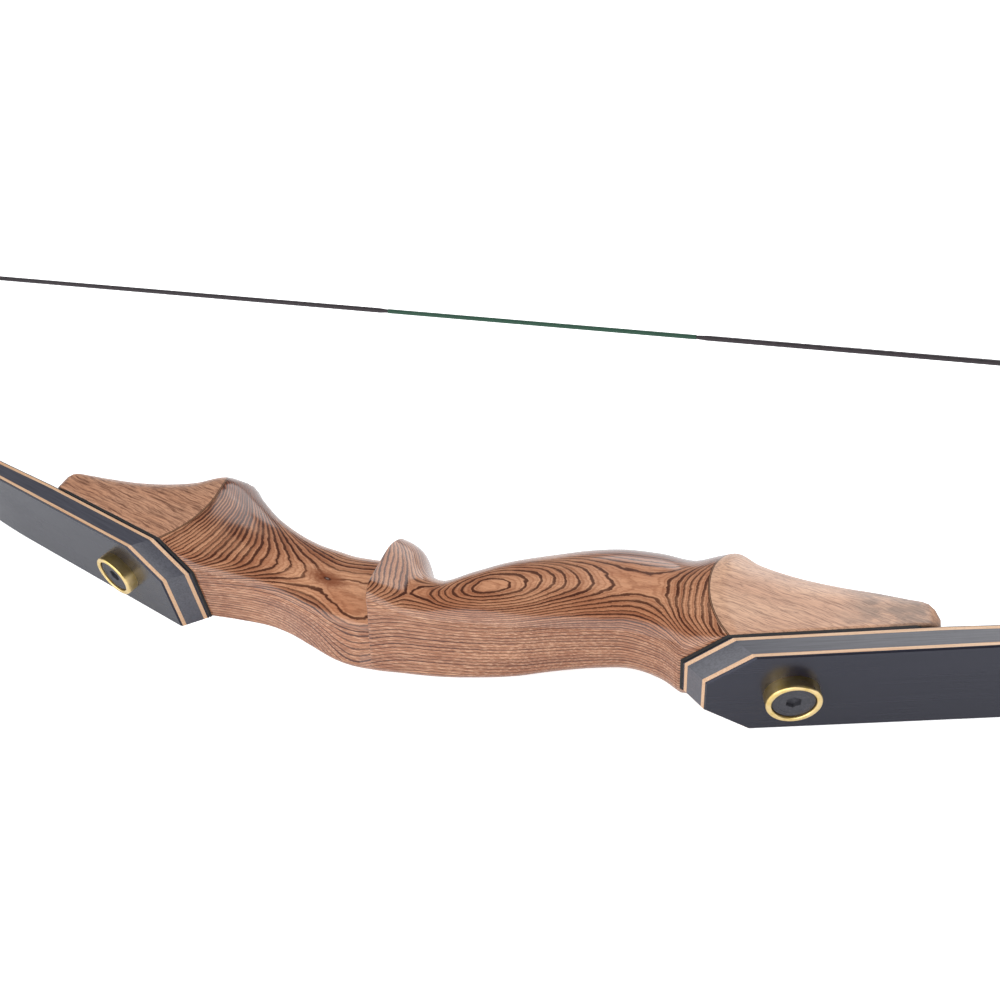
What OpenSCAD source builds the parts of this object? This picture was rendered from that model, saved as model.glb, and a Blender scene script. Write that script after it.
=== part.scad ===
// Takedown recurve bow, strung, lying on its side with the sight window up.
// +X runs along the bow towards the lower limb, +Y from the target side to the archer, +Z up.

/* [Bow] */
// Distance between the two limb bolts
bolt_span = 314; // [290:1:340]
// Width of the limb butts and of the riser at its pads
bow_w = 45; // [42:0.5:48]
// Angle between a limb pad and the long axis of the bow
pad_angle = 17; // [14:0.5:20]

/* [Riser] */
// Length of the wooden riser from tip to tip
riser_len = 416; // [408:1:424]
// Height of the belly horns over the bolt line
horn_h = 66; // [63:0.5:70]
// Height of the grip's throat over the bolt line
throat_h = 23; // [21:0.5:26]
// Height of the heel of the grip over the bolt line
heel_h = 62; // [59:0.5:65]
// How far the back of the riser stands out under the shelf
back_bulge = 16; // [12:0.5:18]
// Place of the arrow shelf along the bow
shelf_x = -20; // [-26:0.5:-16]
// Height of the sight window's face over the string's plane
window_h = 4; // [1:0.5:8]
// Width of the shelf side over the string's plane
shelf_h = 25; // [22:0.5:26]
// Radius of the curved glue joints between centre and end blocks
glue_r = 45; // [42:0.5:60]

/* [Limb bolts] */
// Diameter of the bolt's shank
bolt_d = 9.5; // [8:0.1:10]
// Diameter of the bolt's head
bolt_head_d = 17; // [15:0.1:18]
// Thickness of the bolt's head
bolt_head_t = 3; // [2.4:0.1:4]
// Width across flats of the hexagon socket
hex_af = 5.6; // [5:0.1:6]
// Length of thread in the riser
thread_len = 18; // [14:0.5:20]
// Outer diameter of the brass collar
collar_d = 22; // [20.5:0.1:26]
// Height of the brass collar
collar_h = 5.6; // [5.2:0.1:7]
// Outer diameter of the threaded insert
insert_d = 14; // [12.5:0.1:16]
// Diameter of the locating pin
pin_d = 5; // [4:0.1:6]
// Distance of the locating pin from the bolt
pin_s = 30; // [24:0.5:36]

/* [Limbs] */
// Thickness of the glass on back and belly
glass_t = 0.8; // [0.6:0.05:1]
// Thickness of each light lamination
lam_t = 1.4; // [1.2:0.05:1.6]
// Thickness of the core wedge at the butt
wedge_t = 7; // [6:0.1:8]
// Thickness of the core past the wedge
core_t = 1.6; // [1:0.1:2.4]
// Thickness of the black pad between limb and riser
pad_t = 1.2; // [0.8:0.1:2]
// Length of the limb from bolt to tip
limb_len = 622; // [600:1:640]
// Largest angle between limb and the bow's long axis
limb_sweep = 44.9; // [41:0.1:47]
// Distance from the bolt to the end of the butt
butt_len = 41.7; // [38:0.1:45]
// How far the butt's end leans back across its thickness
butt_bevel = 8.6; // [5:0.1:10]
// Length of the butt's corner chamfers
chamfer_l = 18.2; // [14:0.1:20]
// Width of the butt's corner chamfers
chamfer_w = 13.9; // [10:0.1:15]
// Width of the limb at its string nock
nock_w = 17; // [15:0.5:20]
// Thickness of the overlay on the tip
overlay_t = 3.5; // [2.5:0.1:5]

/* [String] */
// Diameter of the waxed strands
strand_d = 2.2; // [1.8:0.1:2.6]
// Diameter over the servings
serving_d = 2.9; // [2.6:0.1:3.4]
// Place of the nocking point along the bow
nocking_x = -28; // [-34:0.5:-22]
// Centre serving's reach from the nocking point towards the upper limb
serving_up = 92; // [70:1:110]
// Centre serving's reach from the nocking point towards the lower limb
serving_down = 107; // [80:1:130]
// Length of each end serving from the loop
end_serving = 120; // [90:1:150]

/* [Hidden] */

// Clearances
run_gap = 0.05;
free_gap = 0.25;
seat_gap = 0.15;
part_gap = 0.005;
cut_over = 1;

// Inserts, pins, collars and bolts
insert_l = 20;
bolt_room = 3;
pin_in = 8;
pin_out = 6;
pin_l = pin_in + pad_t + pin_out;
pin_edge = 0.5;
pad_nose = 12;
collar_floor = 1.6;
rim_edge = 0.5;
head_edge = 0.4;
socket_depth = 2;
overlay_ramp = 16;
overlay_toe = 0.6;

// Colours
wood_figured = [0.72, 0.45, 0.28];
wood_plain = [0.66, 0.46, 0.34];
wood_light = [0.90, 0.72, 0.52];
glass_black = [0.22, 0.22, 0.26];
black = [0.10, 0.10, 0.11];
core_grey = [0.33, 0.34, 0.40];
steel = [0.62, 0.62, 0.64];
brass = [0.80, 0.66, 0.30];
strand_dark = [0.16, 0.12, 0.16];
serving_green = [0.10, 0.36, 0.24];
serving_dark = [0.22, 0.20, 0.22];

// Limb butt, pad and bolt places
bolt_x = bolt_span / 2;
half_w = bow_w / 2;
butt_t = 2 * glass_t + 2 * lam_t + wedge_t;
tip_t = 2 * glass_t + 2 * lam_t + core_t;
pad_depth = butt_t + pad_t;
tip_x = riser_len / 2;
butt_x = bolt_x - butt_len * cos(pad_angle) - pad_depth * sin(pad_angle);

// Point of the lower half at distance s along the limb from the bolt and at depth d under its back
function butt_pt(s, d) = [
    bolt_x + s * cos(pad_angle) - d * sin(pad_angle),
    s * sin(pad_angle) + d * cos(pad_angle)
];
// Height of the pad plane over the bolt line at x
function pad_line(x) = pad_depth * cos(pad_angle)
    + (x - bolt_x + pad_depth * sin(pad_angle)) * tan(pad_angle);

// Smooth curve through a short list of [x, value] points, which never swings past them
function rise(p, i) = (p[i + 1][1] - p[i][1]) / (p[i + 1][0] - p[i][0]);
function slope(p, i) = i == 0 ? rise(p, 0) : i == len(p) - 1 ? rise(p, i - 1) : let (
    a = rise(p, i - 1), b = rise(p, i), m = (p[i + 1][1] - p[i - 1][1]) / (p[i + 1][0] - p[i - 1][0])
) a * b <= 0 ? 0 : sign(m) * min(abs(m), 3 * abs(a), 3 * abs(b));
function span_of(p, x, i = 0) = i >= len(p) - 2 || x < p[i + 1][0] ? i : span_of(p, x, i + 1);
function curve(p, x) = let (
    i = span_of(p, x), h = p[i + 1][0] - p[i][0],
    t = max(0, min(1, (x - p[i][0]) / h)), u = 1 - t
) p[i][1] * u * u * (1 + 2 * t) + p[i + 1][1] * t * t * (1 + 2 * u)
    + h * t * u * (slope(p, i) * u - slope(p, i + 1) * t);

// Where the butt's chamfer reaches its full width
chamfer_x = butt_x + chamfer_l * cos(pad_angle);

// Curved glue joint, as the distance from the middle of the bow at height y
glue_y = (pad_line(chamfer_x) + horn_h) / 2;
glue_cx = chamfer_x + sqrt(glue_r * glue_r - pow(glue_y - pad_line(chamfer_x), 2));
glue_mid = glue_cx - glue_r;
function glue_at(y) = glue_cx - sqrt(glue_r * glue_r - pow(min(abs(y - glue_y), glue_r - 1), 2));

// Riser lines. Back and belly give y, top and bottom give z, ridge is the z of the belly's crest
horn_x = bolt_x - 30;
back_line = [
    [-butt_x, pad_line(butt_x)], [-98, 0.5], [-84, 0], [-70, -3], [-55, -8.5], [-40, -14],
    [shelf_x - 6, -back_bulge], [shelf_x, -back_bulge], [-9, -back_bulge + 0.5], [10, -14.5],
    [27, -12], [44, -8], [60, -2], [77, 3.5], [92, 6.5], [104, 4.5], [butt_x, pad_line(butt_x)]
];
belly_line = [
    [-tip_x, 38], [-tip_x + 4, 44], [-tip_x + 12, 47], [-186, 48.5], [-170, 50], [-154, 53],
    [-horn_x - 11, horn_h - 7.5], [-horn_x, horn_h - 0.5], [-horn_x + 8, horn_h + 0.5], [-110, 59.5],
    [-98, 51.5], [-83, 44.5], [-69, 40], [-57, 38], [-46, 36.5], [-32, 37],
    [shelf_x, 42], [shelf_x + 9, 38.5], [shelf_x + 18, throat_h + 2.5], [6, throat_h - 1],
    [20, throat_h + 7], [34, 39.5], [50, 48], [66, 55.5], [82, heel_h - 2], [95, heel_h - 1.5],
    [110, horn_h - 7.5], [horn_x - 6, horn_h - 3], [horn_x, horn_h - 1], [horn_x + 11, horn_h - 7],
    [154, 54], [170, 51.5], [186, 50], [tip_x - 12, 47.5], [tip_x - 4, 44], [tip_x, 38]
];
window_top = [
    [-tip_x, 19], [-tip_x + 3, half_w - 1], [-tip_x + 8, half_w], [-horn_x, half_w],
    [-glue_mid, half_w - 0.6], [-112, 17.5], [-105, 13.5], [-97, 10.5], [-88, window_h + 4],
    [-78, window_h + 2.4], [-65, window_h + 1], [-50, window_h], [shelf_x, window_h]
];
grip_top = [
    [shelf_x, shelf_h], [-11, 21], [-3, 18.5], [5, 18.5], [16, 20], [30, 21.5], [45, 21], [65, 19.8],
    [85, 18.8], [96, 18.8], [104, 19.4], [112, 21], [glue_mid, half_w - 0.6], [horn_x, half_w],
    [tip_x - 8, half_w], [tip_x - 3, half_w - 1], [tip_x, 19]
];
bottom_line = [
    [-tip_x, -19], [-tip_x + 3, 1 - half_w], [-tip_x + 8, -half_w], [shelf_x, -half_w],
    [-5, -22], [10, -21], [30, -20], [55, -19.5], [80, -20], [100, -21.5],
    [butt_x, -half_w], [tip_x - 8, -half_w], [tip_x - 3, 1 - half_w], [tip_x, -19]
];
ridge_line = [
    [-tip_x, 0], [-butt_x, 0], [-95, -3], [-60, -5], [shelf_x, -5], [0, -3], [25, 0], [tip_x, 0]
];
back_lean = [[-butt_x, 0], [-70, 3], [shelf_x - 6, 8], [shelf_x, 8], [30, 5], [80, 1], [butt_x, 0]];
// Where the flat of the back ends towards the window side and towards the other side
flat_end = half_w - chamfer_w;
edge_r = 1;
window_flat = [
    [-tip_x, 17], [-tip_x + 3, half_w - 2], [-tip_x + 8, half_w - edge_r], [-chamfer_x, half_w - edge_r],
    [-butt_x, flat_end], [-100, 3], [-80, -2], [-50, -4], [shelf_x, -4]
];
grip_flat = [
    [shelf_x, 15], [0, 11], [30, 5], [60, 4], [90, 5], [butt_x, flat_end],
    [chamfer_x, half_w - edge_r], [tip_x - 8, half_w - edge_r], [tip_x - 3, half_w - 2], [tip_x, 17]
];
bottom_flat = [
    [-tip_x, -17], [-tip_x + 3, 2 - half_w], [-tip_x + 8, edge_r - half_w], [-100, edge_r - half_w],
    [-60, -18], [shelf_x, -15], [10, -13], [40, -11], [75, -9], [95, -8], [butt_x, -flat_end],
    [chamfer_x, edge_r - half_w], [tip_x - 8, edge_r - half_w], [tip_x - 3, 2 - half_w], [tip_x, -17]
];
// Depth in y of the roundings along the back and the belly
window_edge = [
    [-tip_x, 1], [-chamfer_x, edge_r], [-butt_x, 6], [-95, 9], [-60, 14], [shelf_x - 6, 16], [shelf_x, 16]
];
grip_edge = [
    [shelf_x, 8], [10, 12], [40, 16], [75, 18], [95, 18], [butt_x, 16], [chamfer_x, edge_r], [tip_x, 1]
];
bottom_edge = [
    [-tip_x, 1], [-100, edge_r], [-60, 6], [shelf_x, 9], [10, 12], [40, 15], [75, 17],
    [95, 17], [butt_x, 16], [chamfer_x, edge_r], [tip_x, 1]
];
belly_edge = [
    [-tip_x, 5], [-tip_x + 12, 12], [-186, 16], [-154, 22], [-horn_x, 26], [-100, 28], [-60, 26],
    [shelf_x, 26], [6, 18], [34, 24], [66, 28], [95, 30], [horn_x, 28], [154, 22], [186, 16],
    [tip_x - 12, 12], [tip_x, 5]
];

function back_y(x) = abs(x) >= butt_x ? pad_line(abs(x)) : curve(back_line, x);

// Point k of the riser's section at x, with its sides from station t. grip picks the shelf side of
// the step at the shelf.
// The points run over the belly rounding, one side, the back's two roundings and the other side
per_corner = 9;
per_side = 3;
per_half = 2 * per_corner + per_side;
ring_n = 2 * per_half - 1;
function section_pt(grip, x, t, k) = let (
    top = k < per_half, j = top ? k : 2 * per_half - 1 - k,
    th = 90 * (j < per_corner ? j : max(0, j - per_corner - per_side)) / (per_corner - 1),
    belly = j < per_corner + per_side,
    side = belly && j >= per_corner ? (j - per_corner + 1) / (per_side + 1) : 0,
    turn = side > 0 ? 90 : belly ? th : 90 + th,
    ridge = curve(ridge_line, x),
    rim = top ? curve(grip ? grip_top : window_top, t) : curve(bottom_line, t),
    flat = curve(!top ? bottom_flat : grip ? grip_flat : window_flat, x),
    belly_ry = curve(belly_edge, x),
    back_ry = curve(!top ? bottom_edge : grip ? grip_edge : window_edge, x),
    belly_cy = curve(belly_line, x) - belly_ry,
    back_cy = back_y(x) + back_ry + (top ? curve(back_lean, x) : 0),
    ry = belly ? belly_ry : back_ry,
    cy = belly ? belly_cy + side * (back_cy - belly_cy) : back_cy,
    cz = belly ? ridge : flat
) [cy + ry * cos(turn), cz + (top ? 1 : -1) * abs(rim - cz) * sin(turn)];

fade_in = 55;
fade_out = 60;
function joint_share(t) = abs(t) < glue_mid
    ? pow(max(0, (abs(t) - glue_mid + fade_in) / fade_in), 2)
    : pow(max(0, 1 - (abs(t) - glue_mid) / fade_out), 2);
function warped(t, y) = t + sign(t) * joint_share(t) * (glue_at(y) - glue_mid);
// Station whose ring meets the inner end of the pads
butt_run = butt_x - glue_mid + fade_in;
butt_reach = glue_at(pad_line(butt_x)) - glue_mid;
butt_t_x = glue_mid - fade_in
    + (sqrt(1 + 4 * butt_reach * butt_run / pow(fade_in, 2)) - 1) * pow(fade_in, 2) / (2 * butt_reach);

function ring_pt(grip, t, k) = let (
    x1 = warped(t, section_pt(grip, t, t, k)[0]), x2 = warped(t, section_pt(grip, x1, t, k)[0]),
    p = section_pt(grip, x2, t, k)
) [x2, p[0], p[1]];
function ring(grip, t) = [for (k = [0 : ring_n - 1]) ring_pt(grip, t, k)];
function steps(a, b, n) = [for (i = [0 : n - 1]) a + (b - a) * i / n];

// Triangle of three point numbers, left out where two of them are the same
function tri(a, b, c) = a == b || b == c || a == c ? [] : [[a, c, b]];
// Point number in the rings of a loft. The ring at step shares its lower points with the one before it
function num(r, k, step) = let (j = k % ring_n, shared = r == step && (j == 0 || j >= per_half))
    (shared ? r - 1 : r) * ring_n + j;
function skin(r, step) = [
    for (k = [0 : ring_n - 1]) let (
        a = num(r, k, step), b = num(r, k + 1, step),
        c = num(r + 1, k + 1, step), d = num(r + 1, k, step)
    ) each concat(tri(a, b, c), tri(a, c, d))
];
// End cap in strips across the bow, the same on both sides of a glue joint
function cap(r, last) = [
    for (k = [0 : per_half - 2]) let (
        a = num(r, k, -1), b = num(r, k + 1, -1),
        c = num(r, ring_n - k - 1, -1), d = num(r, k == 0 ? 0 : ring_n - k, -1)
    ) each last ? concat(tri(a, b, c), tri(a, c, d)) : concat(tri(a, c, b), tri(a, d, c))
];
module loft(rings, step = -1) {
    n = len(rings);
    polyhedron(
        points = [for (r = rings) each r],
        faces = concat([for (r = [0 : n - 2]) each skin(r, step)], cap(0, false), cap(n - 1, true)),
        convexity = 8
    );
}

module in_frame() {
    translate([0, -mid_y, half_w]) children();
}
module upper() {
    in_frame() mirror([1, 0, 0]) children();
}
module lower() {
    in_frame() children();
}
// Places a shape drawn along +Z at a point of a limb pad, with +Z going into the riser
module at_pad(s, d) {
    p = butt_pt(s, d);
    translate([p[0], p[1], 0]) rotate([-90, 0, pad_angle]) children();
}

centre_up = 5;
window_rings = 24;
grip_rings = 34;
block_rings = 16;
module riser_centre() {
    upper_part = concat(
        steps(-glue_mid, -butt_t_x, centre_up), steps(-butt_t_x, shelf_x, window_rings), [shelf_x]
    );
    lower_part = concat(
        steps(shelf_x, butt_t_x, grip_rings), steps(butt_t_x, glue_mid, centre_up), [glue_mid]
    );
    rings = concat([for (t = upper_part) ring(false, t)], [for (t = lower_part) ring(true, t)]);
    color(wood_figured) in_frame() loft(rings, len(upper_part));
}
// End block with a seat for the insert, room for the bolt's end and a hole for the locating pin
module block_seats() {
    seat_r = insert_d / 2 + run_gap;
    room_r = bolt_d / 2 + free_gap;
    at_pad(0, pad_depth) rotate_extrude($fn = 64) polygon([
        [0, -cut_over], [seat_r, -cut_over], [seat_r, insert_l], [room_r, insert_l],
        [room_r, insert_l + bolt_room], [0, insert_l + bolt_room]
    ]);
    at_pad(pin_s, pad_depth - cut_over)
        cylinder(r = pin_d / 2 + run_gap, h = pin_in + cut_over, $fn = 48);
}
module upper_end_block() {
    rings = concat(steps(-tip_x, -glue_mid, block_rings), [-glue_mid]);
    color(wood_plain) difference() {
        in_frame() loft([for (t = rings) ring(false, t)]);
        upper() block_seats();
    }
}
module lower_end_block() {
    rings = concat(steps(glue_mid, tip_x, block_rings), [tip_x]);
    color(wood_plain) difference() {
        in_frame() loft([for (t = rings) ring(true, t)]);
        lower() block_seats();
    }
}

// Outline of a butt as [distance from the bolt, z]. both gives chamfers at both corners
function butt_outline(both, end, reach, w) = let (
    shoulder = end + chamfer_l * (1 + (w - half_w) / chamfer_w)
) [
    [end, both ? -flat_end : -w], [end, flat_end], [shoulder, w], [reach, w], [reach, -w],
    if (both) [shoulder, -w]
];
pad_end = (tip_x - bolt_x + pad_depth * sin(pad_angle)) / cos(pad_angle);
module limb_pad(both) {
    difference() {
        at_pad(0, butt_t + part_gap) mirror([0, 1, 0]) linear_extrude(pad_t - part_gap) intersection() {
            polygon(butt_outline(both, -butt_len, pad_end, half_w - edge_r / 2));
            translate([pad_end - pad_nose, 0]) union() {
                scale([pad_nose / half_w, 1]) circle(r = half_w, $fn = 96);
                translate([-butt_len - pad_end, -bow_w]) square([butt_len + pad_end, 2 * bow_w]);
            }
        }
        at_pad(0, butt_t - cut_over)
            cylinder(r = bolt_d / 2 + free_gap, h = pad_t + 2 * cut_over, $fn = 48);
        at_pad(pin_s, butt_t - cut_over)
            cylinder(r = pin_d / 2 + seat_gap, h = pad_t + 2 * cut_over, $fn = 48);
    }
}
module upper_limb_pad() {
    color(black) upper() limb_pad(false);
}
module lower_limb_pad() {
    color(black) lower() limb_pad(true);
}

module insert() {
    at_pad(0, pad_depth) difference() {
        cylinder(r = insert_d / 2, h = insert_l, $fn = 64);
        translate([0, 0, -cut_over])
            cylinder(r = bolt_d / 2 + run_gap, h = insert_l + 2 * cut_over, $fn = 64);
    }
}
module upper_insert() {
    color(brass) upper() insert();
}
module lower_insert() {
    color(brass) lower() insert();
}

module locating_pin() {
    at_pad(pin_s, butt_t - pin_out) rotate_extrude($fn = 48) polygon([
        [0, 0], [pin_d / 2 - pin_edge, 0], [pin_d / 2, pin_edge], [pin_d / 2, pin_l], [0, pin_l]
    ]);
}
module upper_locating_pin() {
    color(steel) upper() locating_pin();
}
module lower_locating_pin() {
    color(steel) lower() locating_pin();
}

module bolt_collar() {
    bore = bolt_head_d / 2 + seat_gap;
    at_pad(0, -collar_h - part_gap) rotate_extrude($fn = 96) polygon([
        [bolt_d / 2 + free_gap, collar_h - collar_floor], [bore, collar_h - collar_floor], [bore, rim_edge],
        [bore + rim_edge, 0], [collar_d / 2 - rim_edge, 0], [collar_d / 2, rim_edge],
        [collar_d / 2, collar_h], [bolt_d / 2 + free_gap, collar_h]
    ]);
}
module upper_bolt_collar() {
    color(brass) upper() bolt_collar();
}
module lower_bolt_collar() {
    color(brass) lower() bolt_collar();
}

module limb_bolt() {
    head = -2 * part_gap - collar_floor - bolt_head_t;
    difference() {
        at_pad(0, head) rotate_extrude($fn = 96) polygon([
            [0, 0], [bolt_head_d / 2 - head_edge, 0], [bolt_head_d / 2, head_edge],
            [bolt_head_d / 2, bolt_head_t], [bolt_d / 2, bolt_head_t],
            [bolt_d / 2, pad_depth + thread_len - head - head_edge],
            [bolt_d / 2 - head_edge, pad_depth + thread_len - head], [0, pad_depth + thread_len - head]
        ]);
        at_pad(0, head - cut_over) cylinder(r = hex_af / sqrt(3), h = cut_over + socket_depth, $fn = 6);
    }
}
module upper_limb_bolt() {
    color(black) upper() limb_bolt();
}
module lower_limb_bolt() {
    color(black) lower() limb_bolt();
}

// Limb: a straight butt, a sweep out to limb_sweep, a recurve back to level and a straight tip
bend_1 = 90;
recurve_l = 180;
straight_tip = 62;
bend_3 = limb_len - straight_tip;
bend_2 = bend_3 - recurve_l;
turn_1 = (bend_2 - bend_1) / ((limb_sweep - pad_angle) * PI / 180);
turn_2 = (bend_3 - bend_2) / (limb_sweep * PI / 180);
function angle_at(s) = s < bend_1 ? pad_angle
    : s < bend_2 ? pad_angle + (limb_sweep - pad_angle) * (s - bend_1) / (bend_2 - bend_1)
    : max(0, limb_sweep * (bend_3 - s) / (bend_3 - bend_2));
sweep_end = butt_pt(bend_1, 0)
    + turn_1 * [sin(limb_sweep) - sin(pad_angle), cos(pad_angle) - cos(limb_sweep)];
function back_at(s) = let (a = angle_at(s))
    s < bend_1 ? butt_pt(s, 0)
    : s < bend_2 ? butt_pt(bend_1, 0) + turn_1 * [sin(a) - sin(pad_angle), cos(pad_angle) - cos(a)]
    : sweep_end + turn_2 * [sin(limb_sweep) - sin(a), cos(a) - cos(limb_sweep)] + [max(0, s - bend_3), 0];
function limb_pt(s, d) = let (a = angle_at(s)) back_at(s) + d * [-sin(a), cos(a)];

wedge_from = 57;
wedge_to = 240;
function core_at(s) = let (thinned = max(0, min(1, (s - wedge_from) / (wedge_to - wedge_from))))
    wedge_t + (core_t - wedge_t) * thinned;
// Depth of the limb's surface number i under its back at s
function depth(i, s) = i < 3
    ? [0, glass_t, glass_t + lam_t][i]
    : glass_t + lam_t + core_at(s) + [0, lam_t, lam_t + glass_t][i - 3];
bend_step = 12;
stations = concat(
    [-butt_len - cut_over, wedge_from], [for (s = [bend_1 : bend_step : bend_3 - bend_step / 2]) s],
    [bend_3, limb_len]
);
taper_from = 200;
taper_power = 1.25;
nose_l = 14;
nock_back = 17;
nock_s = limb_len - nock_back;
function limb_w(s) = s < taper_from ? half_w + cut_over
    : s < nock_s
    ? half_w - (half_w - nock_w / 2) * pow((s - taper_from) / (nock_s - taper_from), taper_power)
    : nock_w / 2 * sqrt(max(0, 1 - pow(max(0, s - limb_len + nose_l) / nose_l, 2)));
plan_stations = concat(
    [-butt_len - cut_over, taper_from], [for (k = [1 : 12]) taper_from + (nock_s - taper_from) * k / 12],
    [for (a = [0 : 10 : 90]) limb_len - nose_l + nose_l * sin(a)]
);
module plan_view() {
    side = [for (s = plan_stations) [back_at(s)[0], limb_w(s)]];
    n = len(side);
    reach_y = back_at(limb_len)[1];
    translate([0, reach_y + bow_w, 0]) rotate([90, 0, 0]) linear_extrude(reach_y + 3 * bow_w)
        polygon(concat(side, [for (i = [n - 2 : -1 : 0]) [side[i][0], -side[i][1]]]));
}
lean = atan(butt_bevel / pad_depth);
// The outside of a butt, with its end leaning back towards the limb's back face
module butt_cut(both) {
    outline = butt_outline(both, -butt_len, 2 * limb_len, bow_w);
    at_pad(0, pad_depth) rotate([0, -lean, 0]) mirror([0, 1, 0])
        linear_extrude(3 * limb_len, center = true)
            polygon([for (p = outline) [p[0] * cos(lean), p[1]]]);
}
module limb_layer(i, both) {
    n = len(stations);
    difference() {
        intersection() {
            linear_extrude(bow_w, center = true) polygon(concat(
                [for (s = stations) limb_pt(s, depth(i, s))],
                [for (j = [n - 1 : -1 : 0]) limb_pt(stations[j], depth(i + 1, stations[j]))]
            ));
            plan_view();
            butt_cut(both);
        }
        at_pad(0, -cut_over) cylinder(r = bolt_d / 2 + free_gap, h = pad_depth + 2 * cut_over, $fn = 64);
        if (i > 1)
            at_pad(pin_s, butt_t - pin_out - seat_gap)
                cylinder(r = pin_d / 2 + seat_gap, h = pin_l, $fn = 48);
        if (i == 4) string_bed();
        nock_grooves();
    }
}
module upper_back_glass() {
    color(glass_black) upper() limb_layer(0, false);
}
module upper_back_lamination() {
    color(wood_light) upper() limb_layer(1, false);
}
module upper_core() {
    color(core_grey) upper() limb_layer(2, false);
}
module upper_belly_lamination() {
    color(wood_light) upper() limb_layer(3, false);
}
module upper_belly_glass() {
    color(glass_black) upper() limb_layer(4, false);
}
module lower_back_glass() {
    color(glass_black) lower() limb_layer(0, true);
}
module lower_back_lamination() {
    color(wood_light) lower() limb_layer(1, true);
}
module lower_core() {
    color(core_grey) lower() limb_layer(2, true);
}
module lower_belly_lamination() {
    color(wood_light) lower() limb_layer(3, true);
}
module lower_belly_glass() {
    color(glass_black) lower() limb_layer(4, true);
}

overlay_l = straight_tip - 10;
module tip_overlay() {
    a = back_at(limb_len - overlay_l);
    b = back_at(limb_len);
    difference() {
        intersection() {
            linear_extrude(bow_w, center = true) polygon([
                a, b, b - [0, overlay_t - edge_r], b - [edge_r, overlay_t],
                [a[0] + overlay_ramp, a[1] - overlay_t], a - [0, overlay_toe]
            ]);
            plan_view();
        }
        nock_grooves();
    }
}
module upper_tip_overlay() {
    color(black) upper() tip_overlay();
}
module lower_tip_overlay() {
    color(black) lower() tip_overlay();
}

// String: it lies in a shallow bed on the tip and its loop goes round the nock
tip_back = back_at(limb_len)[1];
tip_belly = tip_back + tip_t;
string_sink = 0.35;
string_y = tip_belly + serving_d / 2 - string_sink;
nock_x = back_at(nock_s)[0];
loop_x = nock_x - 16;
bed_x = back_at(bend_3 - 4 * bend_step)[0];
bed_past = 8;
module string_bed() {
    translate([bed_x, string_y, 0]) rotate([0, 90, 0])
        cylinder(r = serving_d / 2 + free_gap, h = loop_x + bed_past - bed_x, $fn = 48);
}
loop_r = 1.15;
loop_gap = 0.3;
groove_slope = 0.6;
groove_z = nock_w / 2 - 0.2;
module nock_grooves() {
    for (side = [-1, 1])
        translate([nock_x, tip_belly - tip_t / 2, side * groove_z])
            rotate([90, 0, 0]) rotate([0, atan(groove_slope), 0])
                cylinder(r = loop_r + loop_gap, h = 4 * tip_t, center = true, $fn = 32);
}
// Heights at which the loop lies over the belly and behind the overlay, and its run between them
over_y = tip_belly + loop_r + loop_gap;
behind_y = tip_back - overlay_t - loop_r - loop_gap;
edge_in = 0.9;
function groove_at(y) = nock_x + groove_slope * (tip_belly - tip_t / 2 - y);
loop_half = [
    [loop_x, over_y, 0], [loop_x + 4, over_y, 2.2], [loop_x + 8.5, over_y, 5.2],
    [groove_at(tip_belly + 1), tip_belly + loop_r, groove_z - edge_in],
    [groove_at(tip_belly - 1), tip_belly - 1, groove_z],
    [groove_at(tip_back), tip_back, groove_z],
    [groove_at(behind_y + 2.4), behind_y + 2.4, groove_z],
    [groove_at(behind_y + 0.4), behind_y + loop_gap, groove_z - edge_in],
    [groove_at(behind_y + 0.4) + 1.2, behind_y, 4],
    [groove_at(behind_y + 0.4) + 1.5, behind_y, 0]
];
half_n = len(loop_half);
loop_pts = concat(
    loop_half, [for (i = [half_n - 2 : -1 : 1]) [loop_half[i][0], loop_half[i][1], -loop_half[i][2]]]
);
loop_sub = 3;
function loop_at(u) = let (
    n = len(loop_pts), i = floor(u), f = u - i, a = loop_pts[(i + n - 1) % n],
    b = loop_pts[i % n], c = loop_pts[(i + 1) % n], d = loop_pts[(i + 2) % n]
) b + 0.5 * f * ((c - a) + f * ((2 * a - 5 * b + 4 * c - d) + f * (3 * b - a - 3 * c + d)));
module string_loop() {
    n = loop_sub * len(loop_pts);
    sides = 8;
    off_path = [0.7, 0.7, 0];
    path = [for (i = [0 : n - 1]) loop_at(i / loop_sub)];
    points = [
        for (i = [0 : n - 1]) let (
            t = path[(i + 1) % n] - path[(i + n - 1) % n],
            e = cross(t, off_path), e1 = e / norm(e), e2 = cross(t / norm(t), e1)
        ) for (k = [0 : sides - 1])
            path[i] + loop_r * (cos(360 * k / sides) * e1 + sin(360 * k / sides) * e2)
    ];
    polyhedron(points = points, convexity = 6, faces = [
        for (i = [0 : n - 1]) for (k = [0 : sides - 1]) let (
            a = i * sides + k, b = i * sides + (k + 1) % sides,
            c = ((i + 1) % n) * sides + (k + 1) % sides, d = ((i + 1) % n) * sides + k
        ) each [[a, b, c], [a, c, d]]
    ]);
}
module along_string(from, to) {
    translate([from, string_y, 0]) rotate([0, 90, 0]) linear_extrude(to - from) children();
}
nock_gap = 0.3;
strand_end = loop_x - loop_r - loop_gap;
module strands(from) {
    along_string(from, strand_end) circle(d = strand_d, $fn = 24);
}
module serving(from, to) {
    along_string(from, to) difference() {
        circle(d = serving_d, $fn = 32);
        circle(d = strand_d + 2 * run_gap, $fn = 32);
    }
}
module upper_strands() {
    color(strand_dark) upper() strands(nock_gap / 2 - nocking_x);
}
module lower_strands() {
    color(strand_dark) lower() strands(nock_gap / 2 + nocking_x);
}
module upper_centre_serving() {
    color(serving_green) upper() serving(nock_gap / 2 - nocking_x, serving_up - nocking_x);
}
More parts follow.
